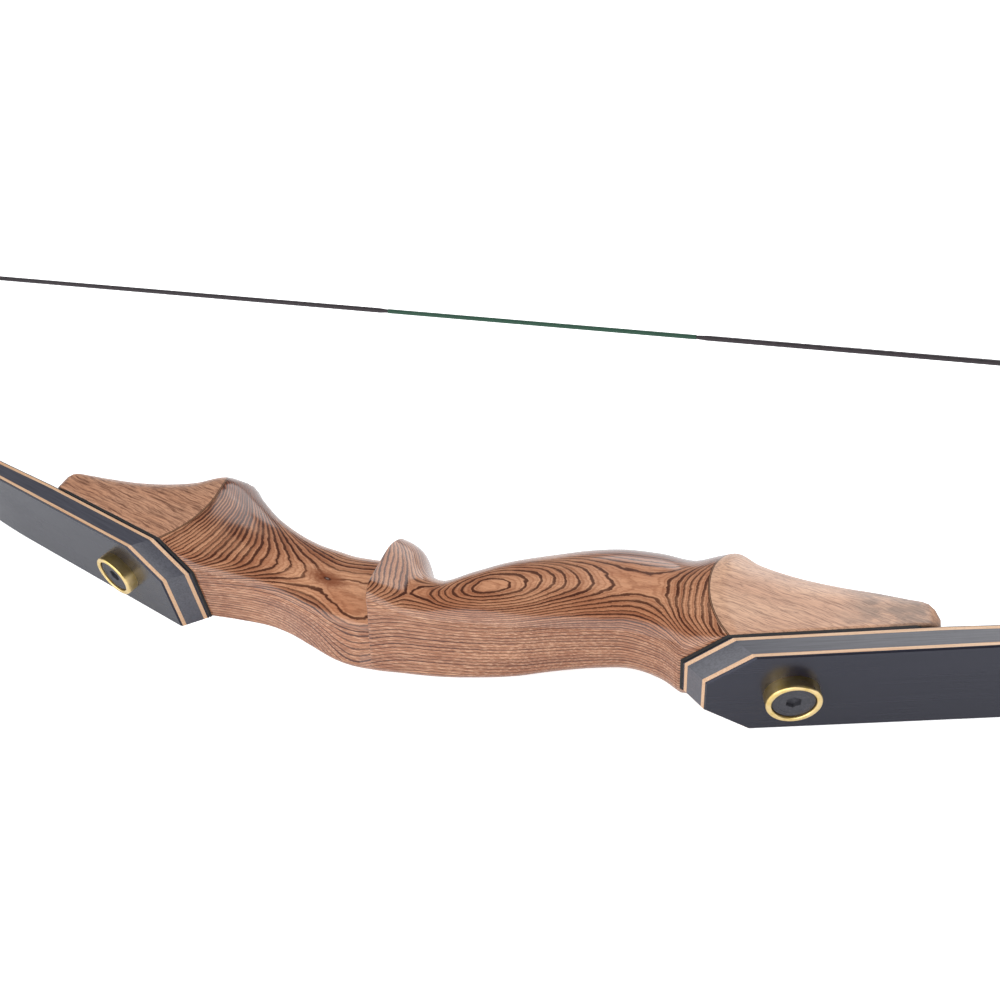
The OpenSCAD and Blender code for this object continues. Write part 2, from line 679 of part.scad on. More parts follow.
module lower_centre_serving() {
    color(serving_green) lower() serving(nock_gap / 2 + nocking_x, serving_down + nocking_x);
}
module upper_end_serving() {
    color(serving_dark) upper() serving(strand_end - end_serving, strand_end);
}
module lower_end_serving() {
    color(serving_dark) lower() serving(strand_end - end_serving, strand_end);
}
module upper_string_loop() {
    color(serving_dark) upper() string_loop();
}
module lower_string_loop() {
    color(serving_dark) lower() string_loop();
}

// The part stands with the middle of its length and depth over the origin
mid_y = (over_y + loop_r - back_bulge) / 2;

riser_centre();
upper_end_block();
lower_end_block();
upper_limb_pad();
lower_limb_pad();
upper_insert();
lower_insert();
upper_locating_pin();
lower_locating_pin();
upper_bolt_collar();
lower_bolt_collar();
upper_limb_bolt();
lower_limb_bolt();
upper_back_glass();
upper_back_lamination();
upper_core();
upper_belly_lamination();
upper_belly_glass();
upper_tip_overlay();
lower_back_glass();
lower_back_lamination();
lower_core();
lower_belly_lamination();
lower_belly_glass();
lower_tip_overlay();
upper_strands();
lower_strands();
upper_centre_serving();
lower_centre_serving();
upper_end_serving();
lower_end_serving();
upper_string_loop();
lower_string_loop();
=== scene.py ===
"""Looks of a strung takedown recurve bow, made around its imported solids."""

import math

import bmesh
import bpy
import numpy as np
from mathutils import Matrix, Vector


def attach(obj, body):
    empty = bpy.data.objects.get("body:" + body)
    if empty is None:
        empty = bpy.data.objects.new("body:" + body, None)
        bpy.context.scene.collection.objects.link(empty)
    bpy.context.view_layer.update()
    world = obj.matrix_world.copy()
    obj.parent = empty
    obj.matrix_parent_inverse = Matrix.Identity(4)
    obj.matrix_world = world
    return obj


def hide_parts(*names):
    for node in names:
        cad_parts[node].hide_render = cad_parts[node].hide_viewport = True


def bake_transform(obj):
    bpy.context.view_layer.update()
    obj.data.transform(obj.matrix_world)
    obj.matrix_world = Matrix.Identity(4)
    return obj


bl_info = {
    "name": "Takedown Recurve Bow",
    "version": (1, 0, 0),
    "blender": (4, 5, 0),
    "location": "View3D > Sidebar > Bow",
    "description": "Makes the carved riser, laminated limbs, hardware and served string of a bow",
    "category": "Object",
}

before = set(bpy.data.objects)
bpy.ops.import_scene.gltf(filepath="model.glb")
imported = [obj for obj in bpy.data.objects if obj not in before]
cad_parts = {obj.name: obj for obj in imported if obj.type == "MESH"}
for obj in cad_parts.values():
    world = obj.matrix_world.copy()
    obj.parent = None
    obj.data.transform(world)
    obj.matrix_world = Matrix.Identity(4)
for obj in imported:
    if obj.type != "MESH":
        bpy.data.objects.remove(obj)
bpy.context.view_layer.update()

MM = 0.001
SIDES = {"upper": -1, "lower": 1}

# Lengths in mm in the bow's own frame: x along the bow, y from the target side, z over the
# string's plane. They are the lengths that the solids are made from.
HALF_W = 22.5
MID_Y = 116.79
BOLT_X, TIP_X, HORN_X = 157.0, 208.0, 127.0
PAD_ANGLE = math.radians(17)
PAD_DEPTH, BUTT_LEN, BUTT_BEVEL = 12.6, 41.7, 8.6
CHAMFER_L, CHAMFER_W = 18.2, 13.9
FLAT_END = HALF_W - CHAMFER_W
SHELF_X, SHELF_H, WINDOW_H = -20.0, 25.0, 4.0
HORN_H, THROAT_H, HEEL_H, BACK_BULGE = 66.0, 23.0, 62.0, 16.0
GLASS_T, LAM_T, WEDGE_T, CORE_T = 0.8, 1.4, 7.0, 1.6
WEDGE_FROM, WEDGE_TO = 57, 240
TAPER_FROM, TAPER_POWER = 200, 1.25
LIMB_LEN, LIMB_SWEEP = 622.0, math.radians(44.9)
BEND_1, BEND_2, BEND_3 = 90.0, 380.0, 560.0
NOSE_L, NOCK_S, NOCK_W = 14.0, 605.0, 17.0
OVERLAY_L, OVERLAY_RISE, OVERLAY_EDGE, OVERLAY_T = 52, 16, 0.6, 3.5
COLLAR_R, COLLAR_H, BORE_R, BORE_DEEP, HOLE_R = 11.0, 5.6, 8.65, 4.0, 5.0
HEAD_R, HEAD_T, BOLT_R, THREAD_L = 8.5, 3.0, 4.75, 18
HEX_R, HEX_DEEP = 2.8, 2.0
COLLAR_AT, HEAD_AT = -5.605, -4.605
STRAND_D, SERVING_D, NOCKING_X = 2.2, 2.9, -28.0
SERVED_UP, SERVED_DOWN, SERVED_END = 92.0, 107.0, 120
LOOP_R, LOOP_GAP, LOOP_L = 1.15, 0.3, 16
BED_R, BED_SINK, BED_L, BED_PAST = 1.7, 0.35, 48, 8
GROOVE_R, GROOVE_IN, GROOVE_SLOPE = LOOP_R + LOOP_GAP, 0.2, 0.6

# Details that only the looks carry, in mm: the stretch in which a drawn limb bends, bevels, and
# the relief and looseness of the strands and threads
FLEX_FROM, FLEX_TO = 58.0, 330.0
GLUE_BEVEL, OVERLAY_BEVEL = 0.03, 0.55
STRAND_RELIEF, STRAND_LOOSE, LOOSE_FADE = 0.22, 0.5, 6
THREAD_RELIEF, LOOP_RELIEF = 0.11, 0.1

# Points round the string's and the hardware's pieces, and the number of strands
ROUND, STRAND_ROUND, THREAD_ROUND, LOOP_ROUND, LOOP_STEPS = 96, 24, 18, 16, 760
STRANDS = 8

# Angles in degrees from which an edge stays sharp
CARVED_CREASE, LIMB_CREASE, COLLAR_CREASE, BOLT_CREASE, STRING_CREASE = 38, 25, 30, 28, 60


def pad_line(x):
    """Height of the plane under the limb pads."""
    return PAD_DEPTH * math.cos(PAD_ANGLE) + (
        x - BOLT_X + PAD_DEPTH * math.sin(PAD_ANGLE)
    ) * math.tan(PAD_ANGLE)


BUTT_X = BOLT_X - BUTT_LEN * math.cos(PAD_ANGLE) - PAD_DEPTH * math.sin(PAD_ANGLE)
CHAMFER_X = BUTT_X + CHAMFER_L * math.cos(PAD_ANGLE)

# The curved glue joints: radius, the middle of the curve, and where the joint is nearest the grip
GLUE_R = 45.0
GLUE_Y = (pad_line(CHAMFER_X) + HORN_H) / 2
GLUE_CX = CHAMFER_X + math.sqrt(GLUE_R**2 - (GLUE_Y - pad_line(CHAMFER_X)) ** 2)
GLUE_MID = GLUE_CX - GLUE_R

# The carved lines of the riser: points of distance along the bow and place across it
LINES = {
    "back": [
        (-BUTT_X, pad_line(BUTT_X)), (-98, 0.5), (-84, 0), (-70, -3), (-55, -8.5), (-40, -14),
        (SHELF_X - 6, -BACK_BULGE), (SHELF_X, -BACK_BULGE), (-9, 0.5 - BACK_BULGE), (10, -14.5),
        (27, -12), (44, -8), (60, -2), (77, 3.5), (92, 6.5), (104, 4.5),
        (BUTT_X, pad_line(BUTT_X)),
    ],
    "belly": [
        (-TIP_X, 38), (-TIP_X + 4, 44), (-TIP_X + 12, 47), (-186, 48.5), (-170, 50), (-154, 53),
        (-HORN_X - 11, HORN_H - 7.5), (-HORN_X, HORN_H - 0.5), (-HORN_X + 8, HORN_H + 0.5),
        (-110, 59.5), (-98, 51.5), (-83, 44.5), (-69, 40), (-57, 38), (-46, 36.5), (-32, 37),
        (SHELF_X, 42), (SHELF_X + 9, 38.5), (SHELF_X + 18, THROAT_H + 2.5), (6, THROAT_H - 1),
        (20, THROAT_H + 7), (34, 39.5), (50, 48), (66, 55.5), (82, HEEL_H - 2), (95, HEEL_H - 1.5),
        (110, HORN_H - 7.5), (HORN_X - 6, HORN_H - 3), (HORN_X, HORN_H - 1),
        (HORN_X + 11, HORN_H - 7), (154, 54), (170, 51.5), (186, 50), (TIP_X - 12, 47.5),
        (TIP_X - 4, 44), (TIP_X, 38),
    ],
    "window_top": [
        (-TIP_X, 19), (-TIP_X + 3, HALF_W - 1), (-TIP_X + 8, HALF_W), (-HORN_X, HALF_W),
        (-GLUE_MID, HALF_W - 0.6), (-112, 17.5), (-105, 13.5), (-97, 10.5), (-88, WINDOW_H + 4),
        (-78, WINDOW_H + 2.4), (-65, WINDOW_H + 1), (-50, WINDOW_H), (SHELF_X, WINDOW_H),
    ],
    "grip_top": [
        (SHELF_X, SHELF_H), (-11, 21), (-3, 18.5), (5, 18.5), (16, 20), (30, 21.5), (45, 21),
        (65, 19.8), (85, 18.8), (96, 18.8), (104, 19.4), (112, 21), (GLUE_MID, HALF_W - 0.6),
        (HORN_X, HALF_W), (TIP_X - 8, HALF_W), (TIP_X - 3, HALF_W - 1), (TIP_X, 19),
    ],
    "bottom": [
        (-TIP_X, -19), (-TIP_X + 3, 1 - HALF_W), (-TIP_X + 8, -HALF_W), (SHELF_X, -HALF_W),
        (-5, -22), (10, -21), (30, -20), (55, -19.5), (80, -20), (100, -21.5),
        (BUTT_X, -HALF_W), (TIP_X - 8, -HALF_W), (TIP_X - 3, 1 - HALF_W), (TIP_X, -19),
    ],
    "ridge": [
        (-TIP_X, 0), (-BUTT_X, 0), (-95, -3), (-60, -5), (SHELF_X, -5), (0, -3), (25, 0),
        (TIP_X, 0),
    ],
    "back_lean": [
        (-BUTT_X, 0), (-70, 3), (SHELF_X - 6, 8), (SHELF_X, 8), (30, 5), (80, 1), (BUTT_X, 0),
    ],
    "window_flat": [
        (-TIP_X, 17), (-TIP_X + 3, HALF_W - 2), (-TIP_X + 8, HALF_W - 1), (-CHAMFER_X, HALF_W - 1),
        (-BUTT_X, FLAT_END), (-100, 3), (-80, -2), (-50, -4), (SHELF_X, -4),
    ],
    "grip_flat": [
        (SHELF_X, 15), (0, 11), (30, 5), (60, 4), (90, 5), (BUTT_X, FLAT_END),
        (CHAMFER_X, HALF_W - 1), (TIP_X - 8, HALF_W - 1), (TIP_X - 3, HALF_W - 2), (TIP_X, 17),
    ],
    "bottom_flat": [
        (-TIP_X, -17), (-TIP_X + 3, 2 - HALF_W), (-TIP_X + 8, 1 - HALF_W), (-100, 1 - HALF_W),
        (-60, -18), (SHELF_X, -15), (10, -13), (40, -11), (75, -9), (95, -8), (BUTT_X, -FLAT_END),
        (CHAMFER_X, 1 - HALF_W), (TIP_X - 8, 1 - HALF_W), (TIP_X - 3, 2 - HALF_W), (TIP_X, -17),
    ],
    "window_edge": [
        (-TIP_X, 1), (-CHAMFER_X, 1), (-BUTT_X, 6), (-95, 9), (-60, 14), (SHELF_X - 6, 16),
        (SHELF_X, 16),
    ],
    "grip_edge": [
        (SHELF_X, 8), (10, 12), (40, 16), (75, 18), (95, 18), (BUTT_X, 16), (CHAMFER_X, 1),
        (TIP_X, 1),
    ],
    "bottom_edge": [
        (-TIP_X, 1), (-100, 1), (-60, 6), (SHELF_X, 9), (10, 12), (40, 15), (75, 17),
        (95, 17), (BUTT_X, 16), (CHAMFER_X, 1), (TIP_X, 1),
    ],
    "belly_edge": [
        (-TIP_X, 5), (-TIP_X + 12, 12), (-186, 16), (-154, 22), (-HORN_X, 26), (-100, 28),
        (-60, 26), (SHELF_X, 26), (6, 18), (34, 24), (66, 28), (95, 30), (HORN_X, 28),
        (154, 22), (186, 16), (TIP_X - 12, 12), (TIP_X, 5),
    ],
}


def curve(name, x):
    """Smooth riser line through its points, which never swings past them."""
    p = np.array(LINES[name], float)
    step = np.diff(p[:, 0])
    rise = np.diff(p[:, 1]) / step
    slope = np.concatenate([rise[:1], (p[2:, 1] - p[:-2, 1]) / (p[2:, 0] - p[:-2, 0]), rise[-1:]])
    a, b = rise[:-1], rise[1:]
    limit = 3 * np.minimum(np.abs(a), np.abs(b))
    inner = slope[1:-1]
    slope[1:-1] = np.where(a * b <= 0, 0, np.sign(inner) * np.minimum(np.abs(inner), limit))
    i = np.clip(np.searchsorted(p[:, 0], x, side="right") - 1, 0, len(p) - 2)
    t = np.clip((x - p[i, 0]) / step[i], 0, 1)
    u = 1 - t
    ends = p[i, 1] * u * u * (1 + 2 * t) + p[i + 1, 1] * t * t * (1 + 2 * u)
    return ends + step[i] * t * u * (slope[i] * u - slope[i + 1] * t)


def back_y(x):
    """The riser's back at x: the carved line, and the pads' plane past the butts."""
    return np.where(np.abs(x) >= BUTT_X, pad_line(np.abs(x)), curve("back", x))


# Points of a riser ring: in a rounded corner, along a side, in the upper half, and in all
PER_CORNER, PER_SIDE = 18, 7
PER_HALF = 2 * PER_CORNER + PER_SIDE
RING_N = 2 * PER_HALF - 1


def section(grip, x, t):
    """The riser's section at x with its sides from station t, as y and z of each ring point."""
    k = np.arange(RING_N)
    top = k < PER_HALF
    j = np.where(top, k, 2 * PER_HALF - 1 - k)
    belly = j < PER_CORNER + PER_SIDE
    turn = np.where(j < PER_CORNER, j, np.maximum(0, j - PER_CORNER - PER_SIDE)) / (PER_CORNER - 1)
    side = np.where(belly & (j >= PER_CORNER), (j - PER_CORNER + 1) / (PER_SIDE + 1), 0)
    turn = np.where(side > 0, 1, np.where(belly, turn, 1 + turn)) * math.pi / 2
    up = "grip" if grip else "window"
    rim = np.where(top, curve(up + "_top", t), curve("bottom", t))
    flat = np.where(top, curve(up + "_flat", x), curve("bottom_flat", x))
    belly_ry = curve("belly_edge", x)
    back_ry = np.where(top, curve(up + "_edge", x), curve("bottom_edge", x))
    belly_cy = curve("belly", x) - belly_ry
    back_cy = back_y(x) + back_ry + np.where(top, curve("back_lean", x), 0)
    ry = np.where(belly, belly_ry, back_ry)
    cy = np.where(belly, belly_cy + side * (back_cy - belly_cy), back_cy)
    cz = np.where(belly, curve("ridge", x), flat)
    return cy + ry * np.cos(turn), cz + np.where(top, 1, -1) * np.abs(rim - cz) * np.sin(turn)


# Distances over which the rings bend from flat to the glue joint's curve, in mm
FADE_IN, FADE_OUT = 55.0, 60.0


def glue_at(y):
    """Distance of the curved glue joint from the middle of the bow."""
    return GLUE_CX - np.sqrt(GLUE_R**2 - np.minimum(np.abs(y - GLUE_Y), GLUE_R - 1) ** 2)


def warped(t, y):
    """Where along the bow the point at height y of station t's ring stands."""
    inside = np.maximum(0, (np.abs(t) - GLUE_MID + FADE_IN) / FADE_IN) ** 2
    outside = np.maximum(0, 1 - (np.abs(t) - GLUE_MID) / FADE_OUT) ** 2
    share = np.where(np.abs(t) < GLUE_MID, inside, outside)
    return t + np.sign(t) * share * (glue_at(y) - GLUE_MID)


def ring(grip, station):
    """One ring of the riser as points in mm, bent onto the glue joint's curve near the joint."""
    t = np.full(RING_N, float(station))
    x = warped(t, section(grip, t, t)[0])
    x = warped(t, section(grip, x, t)[0])
    y, z = section(grip, x, t)
    return np.stack([x, y, z], 1)


def in_frame(points):
    """Points in mm of the bow's own frame, as metres where the part stands."""
    return (np.asarray(points, float) + np.array([0, -MID_Y, HALF_W])) * MM


def add_piece(name, points, faces, slot, body, node, crease, places=None):
    """A smooth closed piece from points in mm and faces, on its body, in place of a CAD node.

    body is one body's name, which the piece is put on; given as two names and two points in mm
    instead, the piece is put on no body and its place is baked in.
    grain follows.
    """
    mesh = bpy.data.meshes.new(name)
    mesh.from_pydata(in_frame(points).tolist(), [], [list(map(int, f)) for f in faces])
    if places is not None:
        stored = mesh.attributes.new("along", "FLOAT_VECTOR", "POINT")
        stored.data.foreach_set("vector", (np.asarray(places) * MM).astype(np.float32).ravel())
    work = bmesh.new()
    work.from_mesh(mesh)
    bmesh.ops.delete(work, geom=[v for v in work.verts if not v.link_faces], context="VERTS")
    bmesh.ops.remove_doubles(work, verts=work.verts, dist=2e-7)
    bmesh.ops.recalc_face_normals(work, faces=work.faces)
    work.to_mesh(mesh)
    work.free()
    mesh.shade_smooth()
    mesh.set_sharp_from_angle(angle=math.radians(crease))
    mesh.materials.append(finish(slot))
    piece = bpy.data.objects.new(name, mesh)
    bpy.context.scene.collection.objects.link(piece)
    if isinstance(body, str):
        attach(piece, body)
    else:
        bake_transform(piece)
    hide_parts(node)


def tube_faces(rows, around, closed=False, caps=True):
    """Quads of a skin over rows of points, with its end caps."""
    faces = []
    for r in range(rows if closed else rows - 1):
        a, b = r * around, ((r + 1) % rows) * around
        for k in range(around):
            n = (k + 1) % around
            faces.append((a + k, a + n, b + n, b + k))
    if caps and not closed:
        faces.append(list(range(around))[::-1])
        faces.append([(rows - 1) * around + k for k in range(around)])
    return faces


class Field:
    """One value of a finish's nodes. Sums of these and numbers add the nodes that they need."""

    def __init__(self, finish, socket):
        self.finish, self.socket = finish, socket

    def math(self, operation, *others):
        return self.finish.maths(operation, self, *others)

    def __add__(self, other):
        return self.math("ADD", other)

    def __radd__(self, other):
        return self.finish.maths("ADD", other, self)

    def __sub__(self, other):
        return self.math("SUBTRACT", other)

    def __rsub__(self, other):
        return self.finish.maths("SUBTRACT", other, self)

    def __mul__(self, other):
        return self.math("MULTIPLY", other)

    def __rmul__(self, other):
        return self.finish.maths("MULTIPLY", other, self)

    def __truediv__(self, other):
        return self.math("DIVIDE", other)

    def __abs__(self):
        return self.math("ABSOLUTE")


class Finish:
    """A material in the making: every node that it needs is added through it."""

    def __init__(self, name):
        self.material = bpy.data.materials.new(name)
        self.material.use_nodes = True
        self.tree = self.material.node_tree
        self.tree.nodes.clear()

    def node(self, kind, settings, inputs, out=0):
        """One output of a new node, whose settings are made first and its inputs set or linked."""
        made = self.tree.nodes.new(kind)
        for key, value in settings.items():
            setattr(made, key, value)
        for key, value in inputs.items():
            if isinstance(value, Field):
                self.tree.links.new(value.socket, made.inputs[key])
            elif hasattr(value, "__len__") and made.inputs[key].type == "RGBA":
                made.inputs[key].default_value = (*value, 1)[:4]
            else:
                made.inputs[key].default_value = value
        return Field(self, made.outputs[out])

    def maths(self, operation, *values):
        """A Math node on numbers and Fields."""
        return self.node("ShaderNodeMath", {"operation": operation}, dict(enumerate(values)))

    def apart(self, vector):
        """The three numbers of a vector."""
        made = self.node("ShaderNodeSeparateXYZ", {}, {0: vector}).socket.node
        return [Field(self, made.outputs[i]) for i in range(3)]

    def at(self):
        """Place on the piece in mm of the bow's own frame."""
        x, y, z = self.apart(self.node("ShaderNodeTexCoord", {}, {}, "Object"))
        return x * 1000, y * 1000 + MID_Y, z * 1000 - HALF_W

    def along(self):
        """Place along a swept piece in mm: its length, its depth or turn, and its width."""
        place = self.node("ShaderNodeAttribute", {"attribute_name": "along"}, {}, "Vector")
        return [number * 1000 for number in self.apart(place)]

    def point(self, x, y, z):
        """A vector of three numbers."""
        return self.node("ShaderNodeCombineXYZ", {}, {0: x, 1: y, 2: z})

    def length(self, vector):
        """How long a vector is."""
        return self.node("ShaderNodeVectorMath", {"operation": "LENGTH"}, {0: vector}, "Value")

    def chance(self, number):
        """A fixed random share for each whole number."""
        return self.node(
            "ShaderNodeTexWhiteNoise", {"noise_dimensions": "1D"}, {"W": number}, "Value"
        )

    def noise(self, vector, scale, detail, roughness=0.5):
        """Cloudy noise from 0 to 1."""
        return self.node(
            "ShaderNodeTexNoise", {},
            {"Vector": vector, "Scale": scale, "Detail": detail, "Roughness": roughness}, "Fac",
        )

    def ramp(self, value, low, high, to_low=0.0, to_high=1.0):
        """value run smoothly from low..high to to_low..to_high, and held at the ends."""
        return self.node(
            "ShaderNodeMapRange", {"interpolation_type": "SMOOTHSTEP", "clamp": True},
            {0: value, 1: low, 2: high, 3: to_low, 4: to_high},
        )

    def mix(self, factor, a, b):
        """Colour a run to colour b by factor."""
        return self.node(
            "ShaderNodeMix", {"data_type": "RGBA", "blend_type": "MIX", "clamp_factor": True},
            {0: factor, 6: a, 7: b}, 2,
        )

    def bump(self, height, distance, strength):
        """Fine relief of a surface, its height in mm."""
        return self.node(
            "ShaderNodeBump", {},
            {"Height": height, "Distance": distance * MM, "Strength": strength},
        )

    def done(self, **inputs):
        """The surface itself. A name's underscores are the socket's spaces."""
        surface = self.node(
            "ShaderNodeBsdfPrincipled", {}, {k.replace("_", " "): v for k, v in inputs.items()}
        )
        return self.out(surface)

    def out(self, surface):
        """The finished material with that surface on it."""
        end = self.tree.nodes.new("ShaderNodeOutputMaterial")
        self.tree.links.new(surface.socket, end.inputs[0])
        return self.material


# Radii of the limb's sweep outwards and of its recurve
TURN_1 = (BEND_2 - BEND_1) / (LIMB_SWEEP - PAD_ANGLE)
TURN_2 = (BEND_3 - BEND_2) / LIMB_SWEEP


def butt_pt(s, d):
    """Point of the lower limb's butt at s along it from the bolt and at depth d under its back."""
    return np.stack([
        BOLT_X + s * math.cos(PAD_ANGLE) - d * math.sin(PAD_ANGLE),
        s * math.sin(PAD_ANGLE) + d * math.cos(PAD_ANGLE),
    ], -1)


def angle_at(s):
    """Angle of the limb's back to the bow's length at s."""
    first = PAD_ANGLE + (LIMB_SWEEP - PAD_ANGLE) * (s - BEND_1) / (BEND_2 - BEND_1)
    second = np.maximum(0, LIMB_SWEEP * (BEND_3 - s) / (BEND_3 - BEND_2))
    return np.where(s < BEND_1, PAD_ANGLE, np.where(s < BEND_2, first, second))


def back_at(s):
    """The limb's back at s: straight butt, sweep outwards, recurve to level and straight tip."""
    s = np.asarray(s, float)
    a = angle_at(s)
    start = butt_pt(np.float64(BEND_1), 0.0)
    turn_to = np.array([math.sin(LIMB_SWEEP), math.cos(LIMB_SWEEP)])
    turn_from = np.array([math.sin(PAD_ANGLE), math.cos(PAD_ANGLE)])
    sweep_end = start + TURN_1 * np.array([turn_to[0] - turn_from[0], turn_from[1] - turn_to[1]])
    first = start + TURN_1 * np.stack([np.sin(a) - turn_from[0], turn_from[1] - np.cos(a)], -1)
    second = sweep_end + TURN_2 * np.stack([turn_to[0] - np.sin(a), np.cos(a) - turn_to[1]], -1)
    second = second + np.stack([np.maximum(0, s - BEND_3), 0 * s], -1)
    bend = np.where((s < BEND_2)[..., None], first, second)
    return np.where((s < BEND_1)[..., None], butt_pt(s, 0 * s), bend)


def limb_pt(s, d):
    """Point of the lower limb at s along it and at depth d under its back."""
    a = angle_at(s)
    return back_at(s) + np.asarray(d)[..., None] * np.stack([-np.sin(a), np.cos(a)], -1)


def depth(i, s):
    """Depth of the limb's glued surface i, from the back, 0, to the belly, 5."""
    core = WEDGE_T + (CORE_T - WEDGE_T) * np.clip((s - WEDGE_FROM) / (WEDGE_TO - WEDGE_FROM), 0, 1)
    if i < 3:
        return 0 * s + (0, GLASS_T, GLASS_T + LAM_T)[i]
    return GLASS_T + LAM_T + core + (0, LAM_T, LAM_T + GLASS_T)[i - 3]


# The tip with its nock groove, and the string that lies over it
TIP_THICK = 2 * GLASS_T + 2 * LAM_T + CORE_T
TIP_BACK = float(back_at(LIMB_LEN)[1])
TIP_BELLY = TIP_BACK + TIP_THICK
NOCK_X = float(back_at(NOCK_S)[0])
STRING_Y = TIP_BELLY + SERVING_D / 2 - BED_SINK
LOOP_X = NOCK_X - LOOP_L
STRAND_END = LOOP_X - LOOP_R - LOOP_GAP
GROOVE_Z = NOCK_W / 2 - GROOVE_IN


def groove_at(y):
    """Middle of the slanting nock groove at height y."""
    return NOCK_X + GROOVE_SLOPE * (TIP_BELLY - TIP_THICK / 2 - y)


def limb_w(s, x, y):
    """Half the limb's width at s, less the nock groove where it crosses the point x, y."""
    share = np.clip((s - TAPER_FROM) / (NOCK_S - TAPER_FROM), 0, 1) ** TAPER_POWER
    w = HALF_W - (HALF_W - NOCK_W / 2) * share
    nose = np.sqrt(np.maximum(0.0004, 1 - (np.maximum(0, s - LIMB_LEN + NOSE_L) / NOSE_L) ** 2))
    across = (x - groove_at(y)) * math.cos(math.atan(GROOVE_SLOPE))
    notch = GROOVE_Z - np.sqrt(np.maximum(0, GROOVE_R**2 - across**2))
    return np.where(np.abs(across) < GROOVE_R, np.minimum(w * nose, notch), w * nose)


# Stations of the limb's cross-sections, close together at the nock and over the rounded nose
LIMB_ROWS = np.unique(np.round(np.concatenate([
    np.arange(-10, NOCK_S - 12, 5), np.arange(NOCK_S - 8, NOCK_S + 8, 0.35),
    LIMB_LEN - NOSE_L + NOSE_L * np.sin(np.radians(np.arange(30, 91, 6))),
]), 3))

# The bed in the belly that the string lies in: its two ends, and columns across half of it
BED_FROM, BED_TO = float(back_at(BEND_3 - BED_L)[0]), LOOP_X + BED_PAST
BED_COLUMNS = np.array([1.68, 1.6, 1.4, 1.1, 0.6, 0.0])


def swept_points(side, s, d, z):
    """Points at s along a limb, depth d and width z, for the upper or the lower limb."""
    p = limb_pt(s, d)
    return np.stack([SIDES[side] * p[..., 0], p[..., 1], z], -1)


def layer_rows(side, stations, outer, inner, bevels, bed):
    """Closed cross-sections of one swept layer between two depths, and their places along it.

    A station gives s at the outer and at the inner depth, and the most that it is wide.
    """
    points, places = [], []
    for s_out, s_in, reach in stations:
        corners = []
        for s, deep, b, out in ((s_out, outer, bevels[0], 1), (s_in, inner, bevels[1], -1)):
            d = float(deep(np.float64(s)))
            x, y = limb_pt(np.float64(s), np.float64(d))
            w = float(limb_w(s, x, y))
            plus, minus = min(w, reach), w if side == "upper" else min(w, reach)
            z = [-minus, -minus + b, plus - b, plus]
            deeper = [d + out * b, d, d, d + out * b]
            if out < 0 and bed:
                columns = np.concatenate([-BED_COLUMNS, BED_COLUMNS[-2::-1]]) * min(1, (w - b) / 2)
                sunk = STRING_Y - np.sqrt(BED_R**2 - columns**2) - y
                dip = np.where((x > BED_FROM) & (x < BED_TO), np.minimum(0, sunk), 0)
                z = [z[0], z[1], *columns, z[2], z[3]]
                deeper = [deeper[0], d, *(d + dip), d, deeper[3]]
            if out < 0:
                z, deeper = z[::-1], deeper[::-1]
            corners += [(s, dd, zz) for dd, zz in zip(deeper, z)]
        a = np.array(corners)
        points.append(swept_points(side, a[:, 0], a[:, 1], a[:, 2]))
        places.append(a)
    return np.concatenate(points), np.concatenate(places), len(corners)


def butt_stations(outer, inner):
    """Stations of the limb's leaning and chamfered end."""
    lean = [
        BUTT_BEVEL * (1 - float(deep(np.float64(-30))) / PAD_DEPTH) - BUTT_LEN
        for deep in (outer, inner)
    ]
    return [
        (lean[0] + q, lean[1] + q, FLAT_END + q * CHAMFER_W / CHAMFER_L)
        for q in (0, CHAMFER_L / 2, CHAMFER_L)
    ]


def limb_piece(side, name, node, outer, inner, slot, bevels, bed=False, tip_only=None):
    """One swept layer of a limb, from its butt to its tip, or a piece of its tip alone."""
    if tip_only is None:
        rows = butt_stations(outer, inner) + [(s, s, HALF_W) for s in LIMB_ROWS]
        ends = [swept_points(side, s, 0.0, 0.0) for s in (FLEX_FROM, FLEX_TO)]
        body = ("riser", f"{side}_limb", *ends)
    else:
        rows = [(s, s, HALF_W) for s in tip_only]
        body = f"{side}_limb"
    points, places, around = layer_rows(side, rows, outer, inner, bevels, bed)
    faces = tube_faces(len(rows), around)
    add_piece(name, points, faces, slot, body, node, LIMB_CREASE, places)


def at_pad(side, d, local):
    """Points given from depth d under a limb's bolt, with the third number going into the riser."""
    base = np.append(butt_pt(np.float64(0), np.float64(d)), 0)
    c, n = math.cos(PAD_ANGLE), math.sin(PAD_ANGLE)
    p = base + local @ np.array([[c, n, 0], [0, 0, -1], [-n, c, 0]])
    return p * np.array([SIDES[side], 1, 1])


def turned(profile):
    """Points of a turned part from its profile of radius and height."""
    turn = np.arange(ROUND) * 2 * math.pi / ROUND
    return np.concatenate([
        np.stack([r * np.cos(turn), r * np.sin(turn), 0 * turn + h], 1) for r, h in profile
    ])


def arc(cx, cy, r, start, end, steps=6):
    """Profile points of a rounded corner, in degrees from the profile's radius axis."""
    turn = np.radians(np.linspace(start, end, steps))
    return [(cx + r * math.cos(a), cy + r * math.sin(a)) for a in turn]


def thread_height(phase):
    """Height of wound thread over its furrows, 0 to 1, at a number of turns."""
    return np.abs(np.cos(math.pi * phase)) ** 0.6


def wound_places(length, turn, radius, lift):
    """Places along a wound piece: along it, round it, and the height of its thread."""
    return np.stack([
        np.broadcast_to(length[:, None], lift.shape), np.broadcast_to(turn * radius, lift.shape),
        lift,
    ], -1).reshape(-1, 3)


# Swells of the growth layers: place, reach along and across, tilt in degrees and height, in mm
WOOD_SWELLS = [
    (32, 10.5, 40, 15, 18, 4.6), (140, 22, 24, 60, 0, 5.4), (-30, -21, 24, 15, -16, 9.5),
    (94, 4, 9, 4, 10, 0.9),
]
KNOT_X, KNOT_Y = -51.4, 13.6

